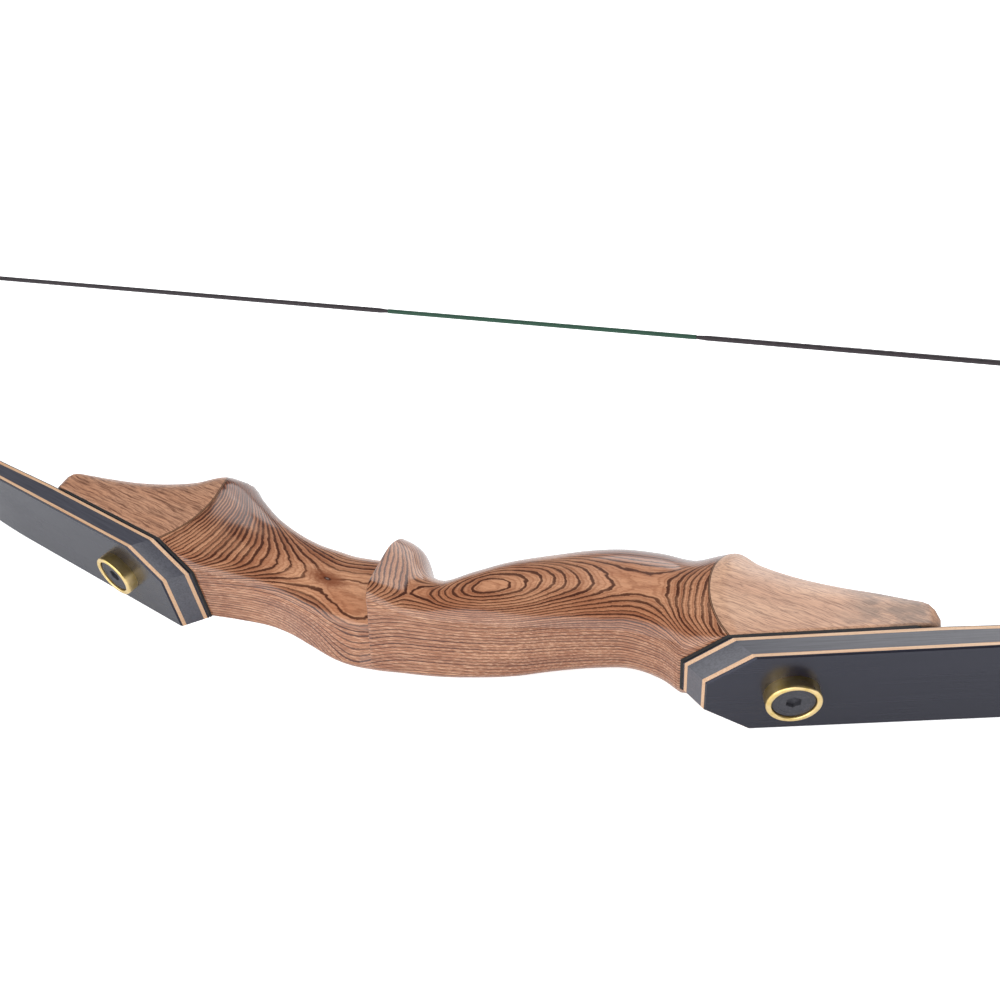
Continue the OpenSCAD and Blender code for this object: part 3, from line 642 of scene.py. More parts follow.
# Tones that a user would hardly change, a first and a second one
TONES = {
    "tip": ((0.012, 0.011, 0.013), (0.035, 0.03, 0.03)),
    "pad": ((0.012, 0.012, 0.013), (0.035, 0.034, 0.034)),
    "black steel": ((0.04, 0.04, 0.048), (0.065, 0.065, 0.075)),
    "bright steel": ((0.5, 0.5, 0.52), (0.62, 0.62, 0.63)),
    "floor": ((0.93, 0.93, 0.93), (0.96, 0.96, 0.96)),
}
SMOKE = (0.12, 0.08, 0.062)
# Painted shade that darkens the furrows between the turns of thread
PAINTED_FURROW_SHADE = (0.01, 0.01, 0.01)


def grown_layers(f, x, y, z):
    """Height of each place in the block's growth layers in mm, and the layers' upright there."""
    spread = f.noise(f.point(x * 0.022, y * 0.045, z * 0.045), 1, 1) - 0.5
    wave = f.noise(f.point(x * 0.16, y * 0.34, z * 0.34), 1, 2) - 0.5
    layer = z + spread * 1.6 + wave * 0.42
    lean_x = lean_y = 0
    for px, py, sx, sy, tilt, height in WOOD_SWELLS:
        co, si = math.cos(math.radians(tilt)), math.sin(math.radians(tilt))
        u = ((x - px) * co + (y - py) * si) / sx
        v = ((y - py) * co - (x - px) * si) / sy
        swell = f.maths("EXPONENT", (u * u + v * v) * -1) * height
        layer = layer + swell
        lean_x = lean_x - (u * (co / sx) - v * (si / sy)) * swell * 2
        lean_y = lean_y - (u * (si / sx) + v * (co / sy)) * swell * 2
    return layer, f.point(lean_x, lean_y, 1.0)


def figured_wood():
    """Strongly figured wood: thin dark layers that the carving cuts into rings and long lines."""
    f, c = Finish("figured wood"), bpy.context.scene.bow_finish
    x, y, z = f.at()
    layer, upright = grown_layers(f, x, y, z)
    # How fast the carved surface crosses the layers: where it runs nearly level with them, the
    # dark layers stay thin lines.
    surface = f.node("ShaderNodeTexCoord", {}, {}, "Normal")
    across = f.node(
        "ShaderNodeVectorMath", {"operation": "CROSS_PRODUCT"}, {0: upright, 1: surface}
    )
    cut = f.length(across)
    jag = f.noise(f.point(x * 0.9, y * 2.6, z * 2.6), 1, 1) - 0.5
    count = (layer + jag * f.ramp(cut, 0, 0.5, 0.05, 0.2)) / (c.layer_spacing / MM)
    number, share = f.maths("FLOOR", count), f.maths("FRACT", count)
    chance = f.chance(number)
    # The dark line of a layer takes a share of its spacing. It is wider in the dense fan beside
    # the upper horn, and on the side away from the archer every second line is faint.
    dense = f.ramp(x, -84, -106) * f.ramp(y, 14, 30)
    front = f.ramp(f.apart(surface)[1], -0.66, -0.95)
    width = f.maths("MINIMUM", 0.4 + chance * 0.3 + dense * 0.25 + front * 0.2, cut * 1.9 + 0.05)
    fade = f.noise(f.point(x * 0.03, y * 0.09, z * 0.09 + 7), 1, 2)
    line = f.ramp(share, 0.0, 0.06) * f.ramp(share / width, 1.0, 0.65)
    line = line * f.ramp(fade, 0.3, 0.5, 0.8, 1.0) * (0.85 + chance * 0.15)
    line = line * (1 - front * f.maths("FRACT", number * 0.5) * 1.2)
    # Red tones: on the steep throats, before each dark line, in fine rings between them, and in
    # streaks along the grain
    steep = f.ramp(abs(x - SHELF_X), 62, 96) * f.ramp(y, 38, 50)
    before = f.ramp(share, 0.3, 1.0) * (0.35 + chance * 0.65) * f.ramp(cut, 0.03, 0.25)
    fine = f.maths("FRACT", count * 3.03)
    fine = f.ramp(fine, 0.0, 0.15) * f.ramp(fine, 0.6, 0.2)
    streak = f.noise(f.point(x * 0.13, y * 2.1, z * 2.1), 1, 3, 0.62)
    streaks = f.ramp(streak, 0.32, 0.75, 0, 0.4) * (1 + front * 0.6)
    base = f.mix(f.ramp(fade, 0.3, 0.72), c.figured_light, c.figured_warm)
    for reddened in (steep * 0.75, before * 0.8, fine * 0.35, streaks):
        base = f.mix(reddened, base, c.figured_red)
    # Painted sheen: on faces turned to the front, away from the archer, pale streaks are mixed into
    # the colour in place of the front light's sheen on the polished wood
    base = f.mix(front * f.ramp(streak, 0.54, 0.3) * 0.42, base, c.figured_painted_sheen)
    base = f.mix(line, base, c.figured_dark)
    pores = f.ramp(f.noise(f.point(x * 0.5, y * 4.2, z * 4.2), 1, 1), 0.6, 0.74)
    base = f.mix(pores * 0.45, base, c.figured_dark)
    base = glued(f, x, y, knotted(f, x, y, jag, base))
    rough = 0.34 + streak * 0.16 - line * 0.04
    bump = f.bump(streak * 0.5 - pores * 0.6 - line * 0.3, 0.05, 0.45)
    return f.done(Base_Color=base, Roughness=rough, Specular_IOR_Level=0.1, Coat_Weight=1.0,
                  Coat_Roughness=0.17, Normal=bump)


def knotted(f, x, y, jag, base):
    """The colour base with the sight window's small knot in it: red streak, rim and grey heart."""
    c = bpy.context.scene.bow_finish
    knot = f.length(f.point((x - KNOT_X) * 0.42, y - KNOT_Y + (x - KNOT_X) * 0.2, 0.0))
    base = f.mix(f.ramp(knot + jag * 3, 6.6, 1.4, 0, 0.88), base, c.figured_red)
    base = f.mix(f.ramp(knot, 1.15, 0.6), base, c.figured_dark)
    return f.mix(f.ramp(knot, 0.55, 0.3, 0, 0.8), base, c.knot)


def glued(f, x, y, base):
    """The colour base with the thin glue line of the curved joints over it."""
    c = bpy.context.scene.bow_finish
    across = abs(x) - GLUE_CX
    off = abs(f.maths("SQRT", across * across + (y - GLUE_Y) * (y - GLUE_Y)) - GLUE_R)
    base = f.mix(f.ramp(off, 0.6, 0.3), base, c.figured_dark)
    return f.mix(f.ramp(off, 0.2, 0.1, 0, 0.7), base, c.glue_line)


def plain_wood():
    """Quiet brown wood with short dashes along the bow and a smoky cloud near the lower tip."""
    f, c = Finish("plain wood"), bpy.context.scene.bow_finish
    x, y, z = f.at()
    lean = y + x * 0.3 + (f.noise(f.point(x * 0.05, y * 0.12, z * 0.12), 1, 2) - 0.5) * 4
    streak = f.noise(f.point(x * 0.07, lean * 1.1, z * 1.1), 1, 4, 0.62)
    dash = f.ramp(f.noise(f.point(x * 0.26, lean * 3.0, z * 3.0), 1, 2), 0.52, 0.64)
    cloud = f.noise(f.point(x * 0.03, y * 0.08, z * 0.08 + 3), 1, 3)
    smoke = f.ramp(f.noise(f.point(x * 0.07, y * 0.16, z * 0.16), 1, 4, 0.6), 0.36, 0.62)
    base = f.mix(f.ramp(cloud, 0.3, 0.7), c.plain_light, c.plain_mid)
    # The upper block is redder and more streaked than the lower one
    upper = f.ramp(x, 1, -1)
    base = f.mix(upper * 0.8, base, f.mix(cloud, c.plain_mid, c.figured_warm))
    streaks = f.ramp(streak, 0.38, 0.72, 0.05, 0.5) * (1 + upper * 0.9)
    base = f.mix(streaks, base, c.plain_dark)
    base = f.mix(dash * 0.5, base, c.plain_dark)
    base = f.mix(smoke * f.ramp(x, 164, 186) * 0.7, base, SMOKE)
    return f.done(Base_Color=glued(f, x, y, base), Roughness=0.36 + streak * 0.14,
                  Specular_IOR_Level=0.3, Coat_Weight=0.5, Coat_Roughness=0.26,
                  Normal=f.bump(streak - dash * 0.7, 0.02, 0.3))


def light_wood():
    """Light lamination wood with fine grain along the limb."""
    f, c = Finish("light lamination"), bpy.context.scene.bow_finish
    s, d, z = f.along()
    grain = f.noise(f.point(s * 0.05, d * 3.0, z * 3.0), 1, 3, 0.6)
    pores = f.ramp(f.noise(f.point(s * 0.6, d * 6, z * 6), 1, 1), 0.6, 0.72)
    base = f.mix(f.ramp(grain, 0.3, 0.7), c.lamination_light, c.lamination_dark)
    base = f.mix(pores * 0.4, base, c.plain_dark)
    return f.done(Base_Color=base, Roughness=0.4 + grain * 0.12, Coat_Weight=0.3,
                  Coat_Roughness=0.2, Normal=f.bump(grain, 0.03, 0.4))


def dark_core():
    """Smoke grey core: thin strips side by side, sanded and lacquered."""
    f, c = Finish("dark core"), bpy.context.scene.bow_finish
    s, d, z = f.along()
    tone = f.chance(f.maths("FLOOR", z / 3.1))
    grain = f.noise(f.point(s * 0.04, d * 1.6, z * 1.6), 1, 4, 0.65)
    scratch = f.noise(f.point(s * 0.8, d * 0.35, z * 0.35), 1, 2)
    base = f.mix(f.ramp(grain, 0.3, 0.72), c.core_light, c.core_dark)
    base = f.mix(tone * 0.3, base, c.core_dark)
    return f.done(Base_Color=base, Roughness=0.34 + scratch * 0.16, Coat_Weight=0.5,
                  Coat_Roughness=0.22, Normal=f.bump(grain, 0.03, 0.35))


def limb_glass():
    """Black fibre glass: faint long fibres under a polished clear face."""
    f, c = Finish("limb glass"), bpy.context.scene.bow_finish
    s, d, z = f.along()
    fibre = f.noise(f.point(s * 0.012, d * 2.0, z * 2.6), 1, 3, 0.6)
    cloud = f.noise(f.point(s * 0.02, d * 0.05, z * 0.05), 1, 2)
    base = f.mix(f.ramp(fibre, 0.35, 0.75), c.glass, c.glass_fibre)
    return f.done(Base_Color=base, Roughness=0.2 + cloud * 0.08 + fibre * 0.05,
                  Specular_Tint=(0.78, 0.82, 1.0), Normal=f.bump(fibre, 0.012, 0.3))


def tip_black():
    """Polished black tip overlay with faint streaks."""
    f = Finish("tip overlay")
    s, d, z = f.along()
    streak = f.noise(f.point(s * 0.08, d * 1.5, z * 1.5), 1, 3)
    base = f.mix(f.ramp(streak, 0.35, 0.7), *TONES["tip"])
    return f.done(Base_Color=base, Roughness=0.18 + streak * 0.1, Coat_Weight=0.7,
                  Coat_Roughness=0.08, Normal=f.bump(streak, 0.02, 0.2))


def black_pad():
    """Matt black pad under the limbs, with a fine leathery surface."""
    f = Finish("limb pad")
    fleck = f.noise(f.point(*f.at()), 1.6, 4, 0.7)
    return f.done(Base_Color=f.mix(fleck, *TONES["pad"]), Roughness=0.7 + fleck * 0.2,
                  Normal=f.bump(fleck, 0.08, 0.6))


def brass():
    """Turned brass: fine marks from the tool and a slight tarnish."""
    f, c = Finish("brass"), bpy.context.scene.bow_finish
    x, y, z = f.at()
    tarnish = f.noise(f.point(x, y, z), 0.22, 4, 0.6)
    marks = f.noise(f.point(0.0, abs(y) * math.cos(PAD_ANGLE), 0.0), 5.0, 2)
    base = f.mix(f.ramp(tarnish, 0.35, 0.75), c.brass, c.brass_dull)
    return f.done(Base_Color=base, Metallic=1.0, Roughness=0.2 + tarnish * 0.16 + marks * 0.06,
                  Normal=f.bump(marks, 0.02, 0.3))


def black_steel():
    """Black oxide steel, slightly worn."""
    f = Finish("black steel")
    fleck = f.noise(f.point(*f.at()), 0.9, 4, 0.7)
    base = f.mix(f.ramp(fleck, 0.4, 0.75), *TONES["black steel"])
    return f.done(Base_Color=base, Roughness=0.42 + fleck * 0.2, Specular_IOR_Level=0.25,
                  Normal=f.bump(fleck, 0.02, 0.4))


def bright_steel():
    """Bright ground steel of the locating pins."""
    f = Finish("bright steel")
    x, y, z = f.at()
    fleck = f.noise(f.point(x, y * 6, z), 0.8, 3)
    return f.done(Base_Color=f.mix(fleck, *TONES["bright steel"]), Metallic=1.0,
                  Roughness=0.25 + fleck * 0.15, Normal=f.bump(fleck, 0.01, 0.3))


# The string's threads by slot: name of the finish, its colour in the settings and a second tone
THREADS = {
    "string_dark": ("strands", "strands", (0.03, 0.018, 0.024)),
    "serving_green": ("green serving", "serving_green", (0.005, 0.060, 0.032)),
    "serving_grey": ("grey serving", "serving_grey", (0.09, 0.08, 0.085)),
}


def thread(slot):
    """Waxed thread: painted shade in the furrows, a little uneven along its length."""
    name, setting, second = THREADS[slot]
    f = Finish(name)
    x, turn, rise = f.along()
    wax = f.noise(f.point(x * 0.4, turn * 0.6, rise), 1, 3, 0.6)
    base = f.mix(f.ramp(wax, 0.3, 0.7), getattr(bpy.context.scene.bow_finish, setting), second)
    # Painted shade: where the thread is low, in the furrows between its turns, the colour goes
    # towards near black
    base = f.mix(f.ramp(rise, 1.0, 0.2, 0, 0.55), base, PAINTED_FURROW_SHADE)
    return f.done(Base_Color=base, Roughness=0.5 + wax * 0.2, Sheen_Weight=0.15,
                  Normal=f.bump(wax, 0.05, 0.5))


MAKERS = {
    maker.__name__: maker for maker in (
        figured_wood, plain_wood, light_wood, dark_core, limb_glass, tip_black, black_pad, brass,
        black_steel, bright_steel,
    )
}
FINISHES = {}


def finish(slot):
    """The finish of a material slot, made once."""
    if slot not in FINISHES:
        FINISHES[slot] = thread(slot) if slot in THREADS else MAKERS[slot]()
    return FINISHES[slot]


class BowSizes(bpy.types.PropertyGroup):
    """Sizes of the details that only the looks carry."""

    serving_pitch: bpy.props.FloatProperty(
        name="Serving pitch", description="Distance between the turns of serving thread",
        default=0.00056, min=0.0003, max=0.002, unit="LENGTH",
    )
    strand_twist: bpy.props.FloatProperty(
        name="Strand twist",
        description="Length of one full twist of the string's strands",
        default=0.045, min=0.01, max=0.3, unit="LENGTH",
    )
    glass_bevel: bpy.props.FloatProperty(
        name="Glass bevel",
        description="Width of the bevel along the outer edges of the limb glass",
        default=0.0006, min=0.0001, max=0.0007, unit="LENGTH",
    )
    shelf_round: bpy.props.FloatProperty(
        name="Shelf rounding", description="Radius of the rounded edge of the arrow shelf",
        default=0.0011, min=0.0002, max=0.003, unit="LENGTH",
    )


def colour(name, text, value):
    """A colour that a user can change."""
    return bpy.props.FloatVectorProperty(
        name=name, description=text, default=value, size=3, min=0, max=1, subtype="COLOR"
    )


class BowFinish(bpy.types.PropertyGroup):
    """Colours of the woods, the glass, the metals and the string."""

    layer_spacing: bpy.props.FloatProperty(
        name="Layer spacing", description="Distance between the dark layers of the figured wood",
        default=0.00082, min=0.0004, max=0.006, unit="LENGTH",
    )
    figured_light: colour(
        "Figured light", "Lightest tone of the figured wood", (0.61, 0.315, 0.175)
    )
    figured_warm: colour("Figured warm", "Usual tone of the figured wood", (0.44, 0.19, 0.095))
    figured_painted_sheen: colour(
        "Figured pale", "Pale streaks on the side away from the archer", (0.82, 0.50, 0.32)
    )
    # Painted sheen: the pale tone mixed into the faces turned to the front, standing in for the
    # front light's sheen
    figured_red: colour(
        "Figured red", "Reddish tone beside the dark layers", (0.17, 0.042, 0.013)
    )
    figured_dark: colour(
        "Figured dark", "Dark layers of the figured wood", (0.050, 0.010, 0.003)
    )
    knot: colour("Knot", "Grey heart of the small knot in the window", (0.19, 0.135, 0.115))
    glue_line: colour("Glue line", "Thin light line in the curved joints", (0.28, 0.16, 0.085))
    plain_light: colour("Plain light", "Lightest tone of the end blocks", (0.62, 0.37, 0.235))
    plain_mid: colour("Plain mid", "Usual tone of the end blocks", (0.54, 0.295, 0.18))
    plain_dark: colour("Plain dark", "Dashes in the end blocks", (0.115, 0.043, 0.023))
    lamination_light: colour(
        "Lamination light", "Light tone of the thin laminations", (0.62, 0.41, 0.255)
    )
    lamination_dark: colour(
        "Lamination dark", "Dark tone of the thin laminations", (0.50, 0.275, 0.145)
    )
    core_light: colour("Core light", "Light tone of the grey core", (0.07, 0.07, 0.088))
    core_dark: colour("Core dark", "Dark tone of the grey core", (0.037, 0.037, 0.05))
    glass: colour("Glass", "Black limb glass", (0.008, 0.0075, 0.013))
    glass_fibre: colour("Glass fibre", "Faint fibres in the limb glass", (0.015, 0.014, 0.022))
    brass: colour("Brass", "Bright brass", (0.98, 0.74, 0.37))
    brass_dull: colour("Brass dull", "Tarnished brass", (0.80, 0.57, 0.18))
    strands: colour("Strands", "Waxed strands of the string", (0.016, 0.009, 0.013))
    serving_green: colour(
        "Centre serving", "Thread of the centre serving", (0.007, 0.071, 0.034)
    )
    serving_grey: colour(
        "End serving", "Thread of the end servings and loops", (0.05, 0.045, 0.05)
    )


def loft_faces(numbers):
    """Quads between rings of point numbers, leaving out those that close up to nothing."""
    faces = []
    for a, b in zip(numbers[:-1], numbers[1:]):
        for k in range(RING_N):
            n = (k + 1) % RING_N
            corners = [a[k], a[n], b[n], b[k]]
            kept = [c for i, c in enumerate(corners) if c != corners[i - 1]]
            if len(kept) > 2:
                faces.append(kept)
    return faces


def cap_faces(numbers, last):
    """Strips across the bow that close a ring at a glue joint or a tip."""
    faces = []
    for k in range(PER_HALF - 1):
        a, b = numbers[k], numbers[k + 1]
        c, d = numbers[RING_N - k - 1], numbers[0 if k == 0 else RING_N - k]
        face = [p for i, p in enumerate((a, b, c, d)) if p != (a, b, c, d)[i - 1]]
        if len(face) > 2:
            faces.append(face if last else face[::-1])
    return faces


def closed_faces(numbers):
    """Faces of a skin over rings of point numbers, closed at both ends."""
    return loft_faces(numbers) + cap_faces(numbers[0], False) + cap_faces(numbers[-1], True)


def own_numbers(count):
    """Point numbers of the next ring after a count of rings."""
    return np.arange(RING_N) + RING_N * count


class BOW_OT_carve_riser(bpy.types.Operator):
    """Carves the riser centre, with its grip, shelf and window, between the glue joints"""

    bl_idname = "bow.carve_riser"
    bl_label = "Carve Riser Centre"

    def execute(self, context):
        # The last station whose ring keeps clear of the glue joint, from where it meets the butt
        reach = float(glue_at(pad_line(BUTT_X))) - GLUE_MID
        run = BUTT_X - GLUE_MID + FADE_IN
        root = math.sqrt(1 + 4 * reach * run / FADE_IN**2) - 1
        butt_t = GLUE_MID - FADE_IN + root * FADE_IN**2 / (2 * reach)
        window = np.concatenate([
            np.linspace(-GLUE_MID, -butt_t, 10)[:-1], np.linspace(-butt_t, SHELF_X, 75),
        ])
        grip = np.concatenate([
            np.linspace(SHELF_X, SHELF_X + 8, 12)[:-1],
            np.linspace(SHELF_X + 8, butt_t, 90)[:-1], np.linspace(butt_t, GLUE_MID, 10),
        ])
        rings = [ring(False, t) for t in window]
        numbers = [own_numbers(n) for n in range(len(rings))]
        last = len(rings) - 1
        shared = (np.arange(RING_N) == 0) | (np.arange(RING_N) >= PER_HALF)
        # The shelf's wall runs from the window's last ring out to the grip's first, and its edge
        # is rounded over. Below the shelf both rings share their points.
        edge = ring(True, SHELF_X)
        wall = edge - rings[last]
        gap = np.linalg.norm(wall[:, 1:], axis=1)
        out = np.roll(edge, 1, 0) - np.roll(edge, -1, 0)
        out = np.stack([0 * gap, -out[:, 2], out[:, 1]], 1)
        out /= np.linalg.norm(out, axis=1)[:, None]
        out *= np.sign((out * wall).sum(1))[:, None]
        radius = np.minimum(context.scene.bow_sizes.shelf_round / MM, gap / 2.5)[:, None]
        for turn in np.radians([0, 22, 45, 68]):
            inset = edge - out * radius * (1 - math.sin(turn))
            inset[:, 0] = SHELF_X + radius[:, 0] * (1 - math.cos(turn))
            numbers.append(np.where(shared, numbers[last], own_numbers(len(rings))))
            rings.append(inset)
        for t in grip:
            if t >= SHELF_X + radius.max() * 1.02:
                numbers.append(own_numbers(len(rings)))
                rings.append(ring(True, t))
        add_piece("carved_riser_centre", np.concatenate(rings), closed_faces(numbers),
                  "figured_wood", "riser", "riser_centre", CARVED_CREASE)
        return {"FINISHED"}


class BOW_OT_carve_blocks(bpy.types.Operator):
    """Carves the two plain end blocks that carry the limb pads"""

    bl_idname = "bow.carve_blocks"
    bl_label = "Carve End Blocks"

    def execute(self, context):
        # Stations from the glue joint to the tip, closer together towards the tip
        spots = TIP_X - (TIP_X - GLUE_MID) * (np.cos(np.linspace(0, math.pi / 2, 60)))
        for side, sign in SIDES.items():
            rings = [ring(side == "lower", t) for t in np.sort(sign * spots)]
            faces = closed_faces([own_numbers(n) for n in range(len(rings))])
            add_piece(f"carved_{side}_end_block", np.concatenate(rings), faces, "plain_wood",
                      "riser", f"{side}_end_block", CARVED_CREASE)
        return {"FINISHED"}


class BOW_OT_glue_limbs(bpy.types.Operator):
    """Glues up the limbs: five swept layers each, and the tip overlays"""

    bl_idname = "bow.glue_limbs"
    bl_label = "Glue Limbs"

    def execute(self, context):
        bevel, edge = context.scene.bow_sizes.glass_bevel / MM, GLUE_BEVEL
        layers = [
            ("back_glass", "limb_glass", (bevel, edge), False),
            ("back_lamination", "light_wood", (edge, edge), False),
            ("core", "dark_core", (edge, edge), False),
            ("belly_lamination", "light_wood", (edge, edge), False),
            ("belly_glass", "limb_glass", (edge, bevel), True),
        ]
        ramp_s = LIMB_LEN - OVERLAY_L
        tip_rows = np.unique(np.concatenate([
            [ramp_s, ramp_s + OVERLAY_RISE / 2, ramp_s + OVERLAY_RISE],
            LIMB_ROWS[LIMB_ROWS > ramp_s],
        ]))

        def overlay(s):
            """The overlay's outer face, which rises from a thin edge and drops at the nose."""
            rise = np.clip((s - ramp_s) / OVERLAY_RISE, 0, 1)
            height = OVERLAY_EDGE + (OVERLAY_T - OVERLAY_EDGE) * rise
            return -height + np.clip(s - LIMB_LEN + 1, 0, 1)

        for side in SIDES:
            for i, (name, slot, bevels, bed) in enumerate(layers):
                limb_piece(side, f"{side}_limb_{name}", f"{side}_{name}",
                           lambda s, i=i: depth(i, s), lambda s, i=i: depth(i + 1, s),
                           slot, bevels, bed)
            limb_piece(side, f"{side}_limb_tip_overlay", f"{side}_tip_overlay", overlay,
                       lambda s: 0.0 * s, "tip_black", (OVERLAY_BEVEL, edge), False, tip_rows)
        return {"FINISHED"}


class BOW_OT_fit_hardware(bpy.types.Operator):
    """Turns the brass collars and the socket head bolts, and finishes pads, inserts and pins"""

    bl_idname = "bow.fit_hardware"
    bl_label = "Fit Hardware"

    def execute(self, context):
        rim, lip, edge = 0.9, 0.7, 0.4
        collar = [
            (HOLE_R, COLLAR_H), (COLLAR_R, COLLAR_H), *arc(COLLAR_R - rim, rim, rim, 0, -90),
            *arc(BORE_R + lip, lip, lip, -90, -180), (BORE_R, BORE_DEEP), (HOLE_R, BORE_DEEP),
        ]
        turn = np.arange(ROUND) * 2 * math.pi / ROUND
        hexagon = HEX_R / np.cos((turn + math.pi / 6) % (math.pi / 3) - math.pi / 6)
        shank = PAD_DEPTH + THREAD_L - HEAD_AT
        # Shank, head with its rounded edge, a shallow turned ring, and the hexagon socket
        bolt = [
            (BOLT_R - edge, shank), (BOLT_R, shank - edge), (BOLT_R, HEAD_T), (HEAD_R, HEAD_T),
            *arc(HEAD_R - edge, edge, edge, 0, -90, 4),
            (6.4, 0.0), (6.2, 0.14), (3.9, 0.14), (3.6, 0.2),
            (hexagon + 0.12, 0.2), (hexagon, 0.36), (hexagon, HEX_DEEP),
            (hexagon * 0.4, HEX_DEEP + 0.5),
        ]
        for side in SIDES:
            for name, node, body, profile, place, slot, crease in (
                ("turned_collar", "bolt_collar", "collar", collar, COLLAR_AT, "brass",
                 COLLAR_CREASE),
                ("socket_bolt", "limb_bolt", "bolt", bolt, HEAD_AT, "black_steel", BOLT_CREASE),
            ):
                faces = tube_faces(len(profile), ROUND, closed=name == "turned_collar")
                add_piece(f"{side}_{name}", at_pad(side, place, turned(profile)), faces, slot,
                          f"{side}_{body}", f"{side}_{node}", crease)
            for node, slot in (
                ("limb_pad", "black_pad"), ("insert", "brass"), ("locating_pin", "bright_steel"),
            ):
                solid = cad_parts[f"{side}_{node}"]
                solid.data.materials.clear()
                solid.data.materials.append(finish(slot))
        return {"FINISHED"}


def string_piece(side, name, node, ends, radius, slot, relief, step, twist, bore=0, bare=None):
    """A straight length of the string: twisted strands, or serving wound round them.

    Rings stand a step apart, and one turn takes the length twist. bore is the radius inside a
    serving, and bare the two ends of the stretch of strands that no serving holds.
    """
    start, end = ends
    rows = max(2, int(round((end - start) / step)))
    x = np.linspace(start, end, rows + 1)
    around = STRAND_ROUND if bare else THREAD_ROUND
    turn = np.arange(around) * 2 * math.pi / around
    if bare:
        phase = STRANDS * (turn[None, :] - x[:, None] * 2 * math.pi / twist) / (2 * math.pi)
    else:
        phase = x[:, None] / twist - turn[None, :] / (2 * math.pi)
    lift = thread_height(phase)
    from_end = np.minimum(np.arange(rows + 1), rows - np.arange(rows + 1))
    # Both ends are drawn in a little
    r = (radius - relief * (1 - lift)) * np.minimum(1, from_end / 3 + 0.82)[:, None]
    if bare:
        # The strands lie looser where no serving holds them
        loose = np.clip((x - bare[0]) / LOOSE_FADE, 0, 1)
        loose = loose * np.clip((bare[1] - x) / LOOSE_FADE, 0, 1)
        r = r + loose[:, None] * STRAND_LOOSE
    sign = SIDES[side]
    skin = np.stack([
        np.broadcast_to(sign * x[:, None], r.shape), STRING_Y + r * np.cos(turn), r * np.sin(turn),
    ], -1).reshape(-1, 3)
    places = wound_places(x, turn, radius, lift)
    faces = tube_faces(rows + 1, around, caps=not bore)
    if bore:
        base, last = len(skin), rows * around
        hole_y, hole_z = STRING_Y + bore * np.cos(turn), bore * np.sin(turn)
        inside = np.concatenate([
            np.stack([0 * turn + sign * at, hole_y, hole_z], 1) for at in (start, end)
        ])
        skin = np.concatenate([skin, inside])
        places = np.concatenate([places, np.tile([start, 0, 0], (2 * around, 1))])
        for k in range(around):
            n = (k + 1) % around
            faces.append((base + k, base + n, n, k))
            faces.append((last + k, last + n, base + around + n, base + around + k))
            faces.append((base + around + k, base + around + n, base + n, base + k))
    add_piece(name, skin, faces, slot, f"{side}_string", node, STRING_CREASE, places)


def loop_path(count):
    """Points of the end loop: over the belly, through both nock grooves and behind the tip."""
    over = TIP_BELLY + LOOP_R + LOOP_GAP
    behind = TIP_BACK - OVERLAY_T - LOOP_R - LOOP_GAP
    low = groove_at(behind + 0.4)
    half = np.array([
        (LOOP_X, over, 0), (LOOP_X + 4, over, 2.2), (LOOP_X + 8.5, over, 5.2),
        (groove_at(TIP_BELLY + 1), TIP_BELLY + LOOP_R, GROOVE_Z - 0.9),
        (groove_at(TIP_BELLY - 1), TIP_BELLY - 1, GROOVE_Z),
        (groove_at(TIP_BACK), TIP_BACK, GROOVE_Z),
        (groove_at(behind + 2.4), behind + 2.4, GROOVE_Z),
        (low, behind + LOOP_GAP, GROOVE_Z - 0.9), (low + 1.2, behind, 4), (low + 1.5, behind, 0),
    ])
    p = np.concatenate([half, (half * (1, 1, -1))[-2:0:-1]])
    # A smooth closed curve through those points
    u = np.arange(count) * len(p) / count
    i, f = np.floor(u).astype(int), (u % 1)[:, None]
    a, b, c, d = (p[(i + k) % len(p)] for k in (-1, 0, 1, 2))
    bend = (2 * a - 5 * b + 4 * c - d) + f * (3 * b - a - 3 * c + d)
    return b + 0.5 * f * ((c - a) + f * bend)


